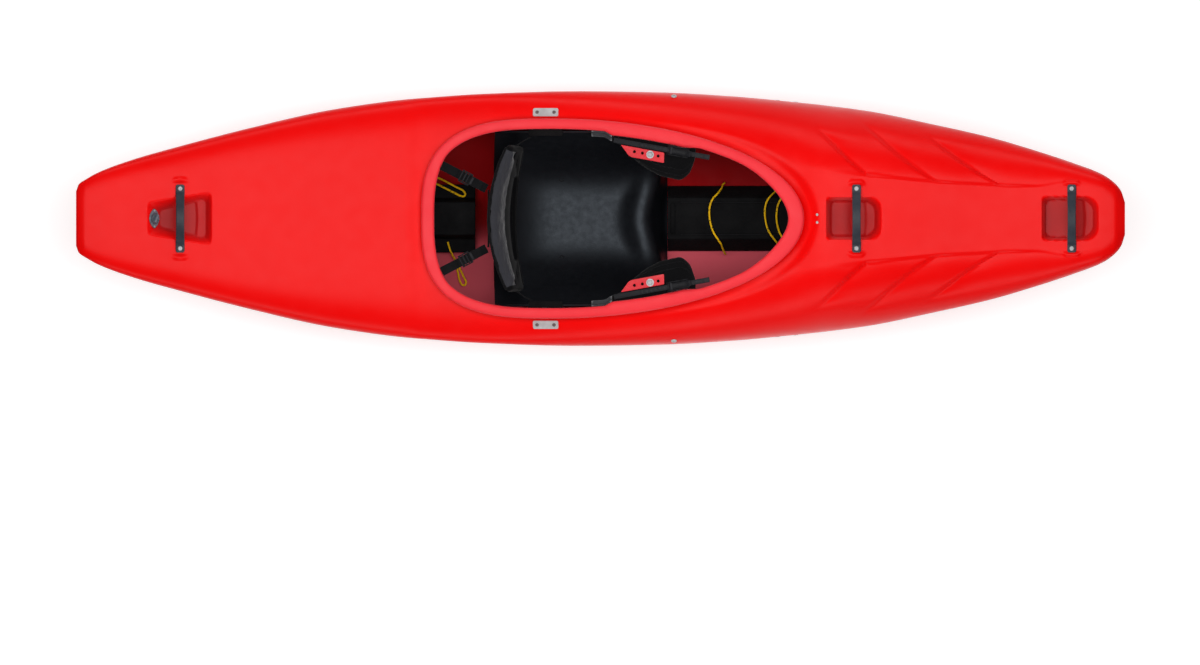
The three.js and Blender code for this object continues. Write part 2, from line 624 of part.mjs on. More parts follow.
// Height of the deck's skin, which runs straight between the hull's stations
function skinHeight(x, y) {
  const half = hull.length / 2;
  const places = stations(-half, half, outerZones);
  const next = places.findIndex((place) => place > x);
  const [from, to] = [places[next - 1], places[next]];
  const share = (x - from) / (to - from);
  return deckHeight(from, y) * (1 - share) + deckHeight(to, y) * share;
}

// The direction square to the deck at a place off the centreline, over a reach to both sides
function deckNormal(x, y, reach) {
  const dx = (skinHeight(x + reach, y) - skinHeight(x - reach, y)) / (2 * reach);
  const dy = (skinHeight(x, y + hull.wall) - skinHeight(x, y - hull.wall)) / (2 * hull.wall);
  return new THREE.Vector3(-dx, -dy, 1).normalize();
}

// The direction square to the hull's side at a height
function sideNormal(x, z, side) {
  const dx = (breadthAt(x + hull.wall, z) - breadthAt(x - hull.wall, z)) / (2 * hull.wall);
  const dz = (breadthAt(x, z + hull.wall) - breadthAt(x, z - hull.wall)) / (2 * hull.wall);
  return new THREE.Vector3(-dx, side, -dz).normalize();
}

// A hole through the wall at a point, square to it
function through(point, normal, diameter, segments) {
  return drill(point.clone().addScaledVector(normal, 2 * hull.wall),
    point.clone().addScaledVector(normal, -hull.wall - footBolts.reach - fit.gap),
    diameter + 2 * fit.bore, segments);
}

// A hole for one of a pair of screws that stand square to the deck under their plate's middle
function throughPlate({ plate, along }, diameter) {
  const frame = deckFrame(plate.x, plate.y, seatPlate.length / 2);
  frame.updateMatrix();
  const up = new THREE.Vector3().setFromMatrixColumn(frame.matrix, 2);
  return through(new THREE.Vector3(along, 0, 0).applyMatrix4(frame.matrix), up, diameter);
}

// Every bolt hole through the shell
function shellHoles() {
  const { point, normal } = drainFrame();
  return [
    ...handleBolts.map(({ x, y }) => through(new THREE.Vector3(x, y, deckHeight(x, y)),
      new THREE.Vector3(0, 0, 1), handleBolt.shank)),
    ...seatScrews.map((screw) => throughPlate(screw, seatPlate.shank)),
    ...deckScrews.map((screw) => through(screw.point, screw.normal, deckScrew.shank)),
    ...sideBolts.map((bolt) => through(bolt.point, bolt.normal, sideBolt.shank)),
    through(point, normal, drain.tube, 20),
  ];
}

function hullShell() {
  let shell = skin(0);
  for (const pocket of Object.values(pockets)) shell = shell.subtract(pocketSolid(pocket, 0));
  shell = shell.subtract(hollow(0)).subtract(cockpitCut());
  for (const hole of shellHoles()) shell = shell.subtract(hole);
  return shell;
}

const spareSkin = skin(-fit.gap);
const spareHollow = hollow(fit.gap);
const opening = rimOpening(0);
const rimSlope = (rimTop(braceEnd) - rimTop(braceStart)) / brace.length;

put('hull_shell', hullShell(), finishes.hull);
put('cockpit_rim', cockpitRim(0), finishes.rim);

// A bolt on the Z axis: domed head, shank and, where asked, a nut
function boltBody({ shank, head, headHeight }, length, segments = 10) {
  return turned([[0, -length], [shank / 2, -length], [shank / 2, 0], [head / 2, 0],
    [head / 2, headHeight / 3], [head / 3, headHeight], [0, headHeight]], segments);
}

function grabHandle(x) {
  const steps = 14;
  const half = handle.span / 2;
  const floor = deckHeight(x, half) - handle.rise;
  const arch = (y) => {
    const share = Math.max(0, 1 - Math.abs(y) / (half - handle.foot));
    return section(x).deck + handle.rise * Math.sin(share * Math.PI / 2) ** 0.8;
  };
  const under = [];
  const over = [];
  for (let k = 0; k <= steps; k += 1) {
    const y = half * Math.sin((k / steps - 0.5) * Math.PI);
    under.push([y, arch(y) + fit.gap]);
    over.push([y, arch(y) + fit.gap + handle.thickness]);
  }
  const strap = prismAlongX([...under, ...over.reverse()], handle.width);
  strap.translate(x - handle.width / 2, 0, 0);
  let band = solid(strap).subtract(spareSkin);
  for (const side of [1, -1]) {
    const y = side * (half - handle.boltInset);
    band = band.subtract(drill(new THREE.Vector3(x, y, floor),
      new THREE.Vector3(x, y, section(x).deck + 3 * handle.rise), handleBolt.shank + 2 * fit.bore));
  }
  return band;
}

function addHandles() {
  for (const [name, x] of handlePlaces) {
    put(`grab_handle_${name}`, grabHandle(x), finishes.webbing);
  }
  for (const { name, x, y } of handleBolts) {
    const bolt = put(name, boltBody(handleBolt, handleBolt.length, 8), finishes.steel);
    const y0 = Math.abs(y);
    bolt.position.set(x, y, Math.max(deckHeight(x, y0), section(x).deck) + handle.thickness
      + 2 * fit.gap);
  }
}

// A turned frame on the hull, in which a small assembly is modelled flat
function frameAt(point, xAxis, normal) {
  const group = new THREE.Group();
  const x = xAxis.clone().normalize();
  const z = normal.clone().normalize();
  group.quaternion.setFromRotationMatrix(new THREE.Matrix4().makeBasis(x, z.clone().cross(x), z));
  group.position.copy(point);
  return group;
}

// The frame of something straight that lies on the deck with a reach to both sides of its middle
function deckFrame(x, y, reach) {
  const normal = deckNormal(x, y, reach);
  const along = new THREE.Vector3(0, 1, 0).cross(normal);
  const chord = (skinHeight(x - reach, y) + skinHeight(x + reach, y)) / 2;
  return frameAt(new THREE.Vector3(x, y, Math.max(chord, skinHeight(x, y))), along, normal);
}

function addDrain() {
  const { point, normal, angle } = drainFrame();
  const frame = frameAt(point, new THREE.Vector3(Math.cos(angle), 0, -Math.sin(angle)), normal);
  kayak.add(frame);
  const lens = (half, width) => {
    const side = [-1, -0.8, -0.5, -0.2, 0.2, 0.5, 0.8].map((share) =>
      [width / 2 * (1 - share * share) + drain.bezel / 2, share * half]);
    return [...side, ...side.map(([x, y]) => [-x, -y])];
  };
  const plate = solid(prism(lens(drain.bezelLength / 2, drain.bezelWidth - drain.bezel), drain.bezel)
    .translate(0, 0, fit.gap));
  const tube = turned([[drain.bore / 2, -drain.tubeLength], [drain.tube / 2, -drain.tubeLength],
    [drain.tube / 2, drain.bezel], [drain.bore / 2, drain.bezel],
    [drain.bore / 2, -drain.tubeLength]], 20);
  const bore = drill(new THREE.Vector3(0, 0, -drain.tubeLength), new THREE.Vector3(0, 0,
    2 * drain.bezel), drain.bore + fit.gap, 20);
  put('drain_bushing', plate.subtract(bore).add(solid(tube)), finishes.plug, frame);
  const seatZ = drain.bezel + 2 * fit.gap;
  const head = turned([[0, seatZ - drain.stemLength], [drain.stem / 2, seatZ - drain.stemLength],
    [drain.stem / 2, seatZ], [drain.head / 2, seatZ], [drain.head / 2, seatZ + drain.headHeight],
    [0, seatZ + drain.headHeight]], 20);
  const gripFoot = seatZ + drain.headHeight / 2;
  const grip = box(-drain.gripLength / 2, drain.gripLength / 2, -drain.grip / 2, drain.grip / 2,
    gripFoot, gripFoot + drain.headHeight / 2 + drain.gripHeight);
  const plug = put('drain_plug', solid(head).add(grip), finishes.plug, frame);
  plug.rotation.z = Math.PI / 3;
}

// The seat's upper surface: a bowl with a raised aft edge, a front lip and wings up to the deck
function seatSurface(share, across) {
  const x = seat.rearX + (seat.frontX - seat.rearX) * share;
  const y = across * seatHalf;
  const floor = section(x).keel + hull.wall + fit.gap + seat.wall;
  const aft = seat.aftRise * Math.max(0, 1 - share / seatShares.aft) ** 2;
  const lip = seat.lipRise * Math.exp(-(((share - seatShares.lip) / seatShares.lipWidth) ** 2))
    * (1 - across * across / 2);
  const base = floor + seat.bowl + aft + lip;
  const wing = Math.min(deckHeight(x, seatHalf, hull.wall), rimTop(x) - rim.skirt)
    - fit.gap - seat.wingDrop;
  const dish = base + (wing - base) * Math.abs(across) ** seatShares.sidePower;
  const drop = smoothStep(share, seatShares.drop, 1) * Math.max(0, 1 - across ** 8);
  return new THREE.Vector3(x, y, dish + (floor - dish) * drop);
}

function seatPan() {
  const [columns, rows] = [seatMesh.acrossSegments, seatMesh.alongSegments];
  const nudge = 0.1;
  const clamp = (value) => Math.min(1, Math.max(0, value));
  const at = (i, j) => seatSurface(clamp(i / rows), Math.sin((clamp(j / columns) - 0.5) * Math.PI));
  const upper = [];
  const lower = [];
  for (let i = 0; i <= rows; i += 1) {
    upper.push([]);
    lower.push([]);
    for (let j = 0; j <= columns; j += 1) {
      const along = at(i + nudge, j).sub(at(i - nudge, j));
      const across = at(i, j + nudge).sub(at(i, j - nudge));
      const down = along.cross(across).normalize().multiplyScalar(-seat.wall);
      upper[i].push(at(i, j));
      lower[i].push(at(i, j).add(down));
    }
  }
  let pan = solid(plateBetween(upper, lower));
  const inner = hollow(fit.gap + seat.wall);
  for (const side of [1, -1]) {
    const ys = [seatHalf - seat.flangeRoot, seatHalf + seat.flangeReach]
      .map((y) => y * side).sort((a, b) => a - b);
    const level = deckHeight(seatPlate.x, seatPlateY, 4 * hull.wall);
    const flange = box(seat.flangeStart, seat.flangeEnd, ys[0], ys[1], level, hull.depth);
    pan = pan.add(flange.intersect(spareHollow).subtract(inner));
  }
  pan = pan.intersect(spareHollow).subtract(solid(cockpitRim(fit.gap)));
  for (const screw of seatScrews) pan = pan.subtract(throughPlate(screw, seatPlate.shank));
  return pan;
}

function roundedOutline(length, width, corner) {
  const points = [];
  for (const [sx, sy, turn] of [[1, 1, 0], [-1, 1, 1], [-1, -1, 2], [1, -1, 3]]) {
    for (const share of [0, 0.5, 1]) {
      const angle = (turn + share) * Math.PI / 2;
      points.push([sx * (length / 2 - corner) + corner * Math.cos(angle),
        sy * (width / 2 - corner) + corner * Math.sin(angle)]);
    }
  }
  return points;
}

function addSeat() {
  put('seat_pan', seatPan(), finishes.plastic);
  for (const side of [1, -1]) {
    const word = side > 0 ? 'left' : 'right';
    const frame = deckFrame(seatPlate.x, side * seatPlateY, seatPlate.length / 2);
    kayak.add(frame);
    let plate = solid(prism(roundedOutline(seatPlate.length, seatPlate.width, seatPlate.corner),
      seatPlate.thickness).translate(0, 0, 2 * fit.gap));
    for (const end of [1, -1]) {
      const screw = boltBody(seatPlate, seatPlate.tail, 8);
      screw.translate(end * seatPlate.screwSpacing / 2, 0, seatPlate.thickness + 2 * fit.gap);
      plate = plate.add(solid(screw));
    }
    put(`seat_plate_${word}`, plate, finishes.steel, frame);
    put(`hip_bracket_${word}`, hipBracketBody(side), finishes.plastic);
  }
}

// An angle against the inside of the rim beside the hip: an upright and a foot
function hipBracketBody(side) {
  const { length, width, height, wall, below } = hipBracket;
  const x = braceStart - hipBracket.aftOfBrace;
  const [outer, inner] = [openingHalf(x) + width, openingHalf(x) - 2 * width];
  const level = new THREE.Matrix4().makeShear(0, rimSlope, 0, 0, 0, 0);
  const block = (top) => {
    const outline = [[outer, top], [outer, -height], [inner, -height], [inner, top]];
    return solid(prismAlongX(outline.map(([y, z]) => [side * y, z]), length)
      .translate(-length / 2, 0, 0).applyMatrix4(level)
      .translate(x, 0, rimTop(x) - below)).intersect(opening);
  };
  return block(0).subtract(rimOpening(wall))
    .add(block(wall - height).subtract(rimOpening(width)));
}

// Plan curve of the leaning backband's middle: share runs from -1 at starboard to 1 at port
function bandAt(share, offset, z) {
  const bend = backband.endX - backband.x;
  const tangent = new THREE.Vector2(2 * share * bend, bandHalf).normalize();
  const lean = backband.leanShare * (backband.top - z);
  return new THREE.Vector3(backband.x + lean + bend * share * share - tangent.y * offset,
    bandHalf * share + tangent.x * offset, z);
}

function backbandBody(front, back, margin, drop) {
  const { segments, bottom, top, endBottom, endTop, crown } = backband;
  const rings = Array.from({ length: segments + 1 }, (_, k) => {
    const share = (2 * k / segments - 1) * (1 + margin / bandHalf);
    const low = bottom + (endBottom - bottom) * share * share + drop - margin;
    const high = top + (endTop - top) * share * share - drop + margin;
    const swell = crown * (1 - share ** 4);
    const place = (offset, z) => bandAt(share, offset, z);
    const middle = (low + high) / 2;
    const ease = Math.min(backband.thickness / 2, (high - low) / 6);
    if (!drop) {
      return [place(front, low + ease), place(front - swell, middle), place(front, high - ease),
        place(front + ease / 2, high - ease / 4), place((front + back) / 2, high),
        place(back - ease / 3, high - ease / 4), place(back, high - ease), place(back, middle),
        place(back, low + ease), place((front + back) / 2, low)];
    }
    return [place(front, low), place(front, high), place(back, high), place(back, low)];
  });
  return loft(rings);
}

function addBackband() {
  const half = backband.thickness / 2;
  const shellFront = half + fit.gap;
  const shellBack = shellFront + backband.shell;
  const envelope = solid(backbandBody(-half, shellBack + fit.gap, fit.gap, 0));
  put('backband_pad', backbandBody(-half, half, 0, 0), finishes.fabric);
  put('backband_shell', backbandBody(shellFront, shellBack, 0, backband.shellDrop),
    finishes.plastic);
  for (const side of [1, -1]) {
    const word = side > 0 ? 'left' : 'right';
    const from = bandAt(side, 0, sideStrap.z);
    const to = new THREE.Vector3(sideStrap.endX, side * (seatHalf - sideStrap.seatInset), sideStrap.z);
    const strap = upright(from, to, webbing.width, webbing.thickness);
    put(`backband_side_strap_${word}`, solid(strap).subtract(envelope), finishes.webbing);
    addRearStrap(side, word, envelope);
  }
  const lift = Math.abs(rearStrapLine(1).along.z) * webbing.width / 2;
  const radius = tieCord.diameter / 2;
  const tie = new THREE.CylinderGeometry(radius, radius, 2 * rearStrap.endY, 8);
  tie.translate(bandAt(0, shellBack, rearStrap.z).x - tieCord.behind - radius, 0,
    rearStrap.z + lift + webbing.thickness / 2 + fit.gap + radius);
  put('backband_cord', tie, finishes.webbing);
}

// A strap with its width upright between two points
function upright(from, to, width, thickness) {
  const length = from.distanceTo(to);
  const geometry = new THREE.BoxGeometry(length, thickness, width);
  const middle = from.clone().add(to).multiplyScalar(0.5);
  geometry.rotateZ(Math.atan2(to.y - from.y, to.x - from.x));
  return geometry.translate(middle.x, middle.y, middle.z);
}

// Place on the inside of the rim for a place along its outer line
function rimInside(x, side) {
  const half = (place) => openingHalf(place) + bandWidth(place);
  const step = fit.overrun;
  const out = new THREE.Vector2(half(x - step) - half(x + step), 2 * step).normalize();
  const inward = bandWidth(x) + fit.gap;
  return {
    point: new THREE.Vector3(x - out.x * inward, side * (half(x) - out.y * inward), rimTop(x)),
    out: new THREE.Vector3(out.x, side * out.y, 0),
  };
}

// The line of a strap from its tab on the rim's inside to just past its end at the backband
function rearStrapLine(side) {
  const { point, out } = rimInside(rimAft + rearStrap.rimReach, side);
  const tabMiddle = point.clone().addScaledVector(out, -webbing.thickness / 2);
  const rise = rearStrap.z - point.z;
  const start = tabMiddle.clone().setZ(rearStrap.z - rise / 2 - webbing.thickness);
  const end = new THREE.Vector3(rearStrap.endX, side * rearStrap.endY, rearStrap.z);
  const along = end.clone().sub(start);
  const length = along.length() + webbing.width;
  return { tabMiddle, out, rise, start, along: along.normalize(), length };
}

// Webbing from a tab on the rim's inside to the backband, with a buckle on it
function addRearStrap(side, word, envelope) {
  const { tabMiddle, out, rise, start, along, length } = rearStrapLine(side);
  const tab = new THREE.BoxGeometry(webbing.thickness, webbing.width, rearStrap.tab);
  tab.rotateZ(Math.atan2(out.y, out.x));
  tab.translate(tabMiddle.x, tabMiddle.y, rearStrap.z - rearStrap.tab / 2 - rise / 2);
  const band = new THREE.BoxGeometry(length, webbing.width, webbing.thickness)
    .translate(length / 2, 0, 0);
  const frame = new THREE.Group();
  const y = new THREE.Vector3(0, 0, 1).cross(along).normalize();
  frame.matrix.makeBasis(along, y, along.clone().cross(y)).setPosition(start);
  const strap = solid(band.applyMatrix4(frame.matrix)).add(solid(tab)).subtract(envelope);
  put(`rear_strap_${word}`, strap.intersect(opening), finishes.webbing);
  const { buckleLength, buckleWidth, buckle } = webbing;
  const outer = box(-buckleLength / 2, buckleLength / 2, -buckleWidth / 2, buckleWidth / 2,
    -buckle / 2, buckle / 2);
  const slotHalf = webbing.thickness / 2 + fit.gap;
  const slot = box(-buckleLength, buckleLength, -webbing.width / 2 - fit.gap,
    webbing.width / 2 + fit.gap, -slotHalf, slotHalf);
  const windows = [-1, 1].map((way) => box(way * buckleLength / 4 - buckle / 3,
    way * buckleLength / 4 + buckle / 3, -buckleWidth / 2 + webbing.thickness,
    buckleWidth / 2 - webbing.thickness, 0, buckle));
  let body = outer.subtract(slot);
  for (const window of windows) body = body.subtract(window);
  const shape = geometryOf(body).translate(rearStrap.buckleAt, 0, 0).applyMatrix4(frame.matrix);
  put(`strap_buckle_${word}`, shape, finishes.plastic);
}

const braceTop = (x) => rimTop(braceFrameX) - brace.below + rimSlope * (x - braceFrameX);

// Padded hook: its outer edge follows the rim's inside, its inner edge droops over the thigh
function bracePad(side) {
  const widthShare = curveThrough(braceWidthShares);
  const { thickness, droop, edge } = brace;
  const rings = brace.stationShares.map((share) => {
    const x = braceStart + brace.length * share;
    const outer = openingHalf(x) + edge;
    const w = brace.width * widthShare(share) + edge;
    const inner = outer - w;
    const top = braceTop(x);
    const fall = droop * Math.min(1, w / thickness / 2);
    return [[outer, top], [inner + w * 0.4, top], [inner + w * 0.12, top - fall * 0.35],
      [inner, top - fall * 0.9], [inner + w * 0.06, top - fall - thickness / 2],
      [inner + w * 0.35, top - thickness], [outer, top - thickness]]
      .map(([y, z]) => new THREE.Vector3(x, side * y, z));
  });
  return solid(loft(rings)).intersect(opening);
}

function braceFrame(side) {
  const taper = openingHalf(braceFrameX - fit.overrun) - openingHalf(braceFrameX + fit.overrun);
  const yaw = brace.yawShare * Math.atan2(taper, 2 * fit.overrun);
  const along = new THREE.Vector3(Math.cos(yaw), -side * Math.sin(yaw), rimSlope * Math.cos(yaw));
  const normal = new THREE.Vector3(-rimSlope, 0, 1);
  const frameY = openingHalf(braceFrameX) - ratchet.width / 2 - brace.frameGap;
  const point = new THREE.Vector3(braceFrameX, side * frameY, braceTop(braceFrameX));
  const frame = frameAt(point, along, normal);
  kayak.add(frame);
  return frame;
}

function bracePlateBody(side) {
  const p = bracePlate;
  const outline = [[p.start, side * p.outer], [p.start + p.nose, side * p.inner],
    [p.end, side * p.inner], [p.end - braceBolt.tail / 4, side * p.outer]];
  let plate = solid(prism(outline, p.thickness).translate(0, 0, fit.gap));
  for (let k = 0; k < p.holeCount; k += 1) {
    const place = new THREE.Vector3(p.firstHole + k * p.pitch, side * p.holeLine, -p.thickness);
    plate = plate.subtract(drill(place, place.clone().setZ(3 * p.thickness), p.hole, 8));
  }
  return plate;
}

function ratchetBase() {
  const { length, width, floor, cheek, height, pin, pinX, pinZ } = ratchet;
  const block = box(-length / 2, length / 2, -width / 2, width / 2, fit.gap, fit.gap + height);
  const channel = box(-length, length, -width / 2 + cheek, width / 2 - cheek, fit.gap + floor,
    2 * height);
  const nose = box(length / 4, length, -width, width, fit.gap + height * 0.6, 2 * height);
  const axle = drill(new THREE.Vector3(pinX, -width / 2 + cheek / 2, pinZ),
    new THREE.Vector3(pinX, width / 2 - cheek / 2, pinZ), pin, 12);
  return block.subtract(channel).subtract(nose).add(axle);
}

function ratchetLever() {
  const { lever, leverThickness, knuckle, pin, pinX, pinZ } = ratchet;
  const leverWidth = ratchet.width - 2 * (ratchet.cheek + ratchet.leverGap);
  const barrel = drill(new THREE.Vector3(pinX, -leverWidth / 2, pinZ),
    new THREE.Vector3(pinX, leverWidth / 2, pinZ), knuckle, 14);
  const hole = drill(new THREE.Vector3(pinX, -leverWidth, pinZ),
    new THREE.Vector3(pinX, leverWidth, pinZ), pin + 2 * fit.bore, 12);
  const blade = box(pinX, pinX + lever, -leverWidth / 2, leverWidth / 2, pinZ,
    pinZ + leverThickness);
  const tip = box(pinX + lever - 2 * leverThickness, pinX + lever, -leverWidth / 2, leverWidth / 2,
    pinZ, pinZ + 2 * leverThickness);
  return barrel.add(blade).add(tip).subtract(hole);
}

function ladderStrap() {
  const { thickness, start, end, tooth, toothGap, toothHeight, tail } = ladder;
  const width = ratchet.width - 2 * (ratchet.cheek + ladder.sideGap);
  const foot = fit.gap + ratchet.floor + fit.gap;
  const top = foot + thickness;
  let strap = box(start, end, -width / 2, width / 2, foot, top - toothHeight);
  const rungs = Math.floor((end - tail - start) / tooth);
  for (let k = 0; k < rungs; k += 1) {
    const x = start + tail + k * tooth;
    strap = strap.add(box(x, x + tooth - toothGap, -width / 2 + toothGap / 4,
      width / 2 - toothGap / 4, foot, top));
  }
  return strap;
}

function addBraces() {
  for (const side of [1, -1]) {
    const word = side > 0 ? 'left' : 'right';
    const frame = braceFrame(side);
    frame.updateMatrix();
    const boltX = bracePlate.firstHole + bracePlate.boltIndex * bracePlate.pitch;
    const place = new THREE.Vector3(boltX, side * bracePlate.holeLine, 0);
    const hole = geometryOf(drill(place.clone().setZ(-brace.thickness * 0.9),
      place.clone().setZ(brace.thickness), bracePlate.hole)).applyMatrix4(frame.matrix);
    put(`thigh_brace_${word}`, bracePad(side).subtract(solid(hole)), finishes.foam);
    put(`thigh_brace_plate_${word}`, bracePlateBody(side), finishes.plate, frame);
    const { shank, head, headHeight, washer, washerHeight, tail } = braceBolt;
    const bolt = put(`thigh_brace_bolt_${word}`, turned([[0, -tail], [shank / 2, -tail],
      [shank / 2, 0], [washer / 2, 0], [washer / 2, washerHeight], [head / 2, washerHeight],
      [head / 2, washerHeight + headHeight / 3], [head / 3, headHeight], [0, headHeight]], 10),
    finishes.steel, frame);
    bolt.position.copy(place).setZ(bracePlate.thickness + 2 * fit.gap);
    put(`ratchet_base_${word}`, ratchetBase(), finishes.plastic, frame);
    put(`ratchet_lever_${word}`, ratchetLever(), finishes.plastic, frame);
    put(`ladder_strap_${word}`, ladderStrap(), finishes.plastic, frame);
  }
}

// A beam on the hull's floor from a half section of [y, height over the floor or level] rows
function floorBeam(start, end, halfSection) {
  const steps = 8;
  const rings = Array.from({ length: steps + 1 }, (_, k) => {
    const x = start + (end - start) * k / steps;
    const side = halfSection(section(x).keel + hull.wall);
    return [...side, ...side.slice().reverse().map(([y, z]) => [-y, z])]
      .map(([y, z]) => new THREE.Vector3(x, y, z));
  });
  return solid(loft(rings)).intersect(spareHollow);
}

function addBeams() {
  const b = frontBeam;
  const start = seat.frontX + b.aheadOfSeat;
  const slotX = start + b.slotReach;
  const beam = floorBeam(start, b.end, (floor) => [[b.half, floor - b.sunk],
    [b.half, floor + b.foot], [b.shoulderHalf, b.height - b.ridge], [b.topHalf, b.height + b.ridge],
    [b.innerHalf, b.height + b.ridge], [b.innerHalf - 2 * b.ridge, b.height]]);
  const slot = box(slotX - b.slotLength / 2, slotX + b.slotLength / 2, -b.slotHalf, b.slotHalf,
    b.height - b.slotDepth, 2 * b.height);
  put('front_beam', beam.subtract(slot), finishes.plastic);
  const p = pillar;
  put('rear_pillar', floorBeam(p.start, p.end, (floor) => [[p.half, floor - p.sunk],
    [p.half, floor + p.foot], [p.rootHalf, floor + p.foot], [p.topHalf, p.height]]),
  finishes.foam);
}

function addFootrest() {
  const f = footrest;
  const breadth = section(f.plateX).halfBeam;
  const half = breadth - f.sideInset;
  const port = [[breadth - f.footInset, f.bottom], [half, f.shoulder], [half, f.top]];
  const outline = [...port, ...port.slice().reverse().map(([y, z]) => [-y, z])];
  const plate = prismAlongX(outline, f.plate).translate(f.plateX - f.plate / 2, 0, 0);
  put('footrest_plate', plate, finishes.plastic);
  const rear = f.plateX - f.plate / 2 - fit.gap;
  for (const side of [1, -1]) {
    const word = side > 0 ? 'left' : 'right';
    const armY = section(sleeveX).halfBeam - f.armInset;
    const [inner, outer] = [armY - f.arm / 2, armY + f.arm / 2];
    const crank = armY - half + f.arm;
    const [armStart, crankX] = [sleeveX - f.armReach, f.plateX - f.crankRun];
    const arm = prism([[armStart, side * inner], [armStart, side * outer], [crankX, side * outer],
      [rear, side * (outer - crank)], [rear, side * (inner - crank)], [crankX, side * inner]],
    f.armHeight);
    put(`footrest_arm_${word}`, arm.translate(0, 0, f.armZ - f.armHeight / 2), finishes.steel);
    const start = sleeveX - f.sleeve / 2;
    const ys = [inner - f.sleeveWall, hull.beam / 2].map((y) => y * side).sort((a, b) => a - b);
    const ts = [inner - fit.gap, outer + fit.gap].map((y) => y * side).sort((a, b) => a - b);
    const track = f.armHeight / 2 + fit.gap;
    let sleeve = box(start, start + f.sleeve, ys[0], ys[1], f.armZ - f.sleeveHeight / 2,
      f.armZ + f.sleeveHeight / 2).intersect(spareHollow);
    sleeve = sleeve.subtract(box(start - fit.overrun, start + f.sleeve + fit.overrun, ts[0], ts[1],
      f.armZ - track, f.armZ + track));
    for (const { point, normal } of sideBolts.filter((b) => b.side === side && b.reach)) {
      sleeve = sleeve.subtract(through(point, normal, sideBolt.shank));
    }
    put(`footrest_sleeve_${word}`, sleeve, finishes.plastic);
  }
}

function addSideBolts() {
  for (const { name, point, normal, reach } of sideBolts) {
    const inside = hull.wall + (reach || sideBolt.standOff + sideBolt.nutHeight);
    let bolt = solid(boltBody(sideBolt, inside, 8));
    if (!reach) {
      const { nut, nutHeight } = sideBolt;
      bolt = bolt.add(solid(turned([[0, -inside], [nut / 2, -inside],
        [nut / 2, nutHeight - inside], [0, nutHeight - inside]], 6)));
    }
    const mesh = put(name, bolt, finishes.steel);
    mesh.quaternion.setFromUnitVectors(new THREE.Vector3(0, 0, 1), normal);
    mesh.position.copy(point).addScaledVector(normal, 2 * fit.gap);
  }
  for (const { name, point, normal } of deckScrews) {
    const mesh = put(name, boltBody(deckScrew, deckScrew.tail, 8), finishes.steel);
    mesh.quaternion.setFromUnitVectors(new THREE.Vector3(0, 0, 1), normal);
    mesh.position.copy(point).addScaledVector(normal, 2 * fit.gap);
  }
}

// A cord as a tube of the given number of sides along a smooth curve through its points
function addCords() {
  for (const [name, route] of Object.entries(cordRoutes)) {
    const curve = new THREE.CatmullRomCurve3(route.map((p) => new THREE.Vector3(...p)), false,
      'centripetal');
    const shape = new THREE.Shape(Array.from({ length: cord.segments }, (_, k) => {
      const angle = (k + 0.5) / cord.segments * Math.PI * 2;
      return new THREE.Vector2(Math.cos(angle), Math.sin(angle)).multiplyScalar(cord.diameter / 2);
    }));
    const steps = Math.round(curve.getLength() / cord.step);
    put(name, new THREE.ExtrudeGeometry(shape, { steps, extrudePath: curve, bevelEnabled: false }),
      finishes.cord);
  }
}

addHandles();
addDrain();
addSeat();
addBackband();
addBraces();
addBeams();
addFootrest();
addSideBolts();
addCords();

export default kayak;
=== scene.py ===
import math
import bpy
import bmesh
import numpy as np
from mathutils import Matrix, Vector, geometry, noise


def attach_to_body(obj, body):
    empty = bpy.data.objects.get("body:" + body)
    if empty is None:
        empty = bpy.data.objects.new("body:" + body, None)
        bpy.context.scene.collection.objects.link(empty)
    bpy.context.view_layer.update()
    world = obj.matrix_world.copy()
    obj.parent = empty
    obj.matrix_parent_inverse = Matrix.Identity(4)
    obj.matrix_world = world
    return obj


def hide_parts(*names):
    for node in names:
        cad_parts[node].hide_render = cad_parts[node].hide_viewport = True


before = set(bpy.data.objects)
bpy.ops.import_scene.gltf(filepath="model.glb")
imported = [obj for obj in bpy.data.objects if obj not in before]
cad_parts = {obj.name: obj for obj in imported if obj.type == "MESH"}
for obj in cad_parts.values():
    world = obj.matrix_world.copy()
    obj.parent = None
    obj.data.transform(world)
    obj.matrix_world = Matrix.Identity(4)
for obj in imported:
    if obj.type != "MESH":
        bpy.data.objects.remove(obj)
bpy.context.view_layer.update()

SCENE = bpy.context.scene
SIDES = ((1, "left"), (-1, "right"))
MM = 0.001
GAP = 0.0003

# Sizes, in metres
LENGTH, BEAM, DEPTH, WALL = 2.7, 0.66, 0.383, 0.006

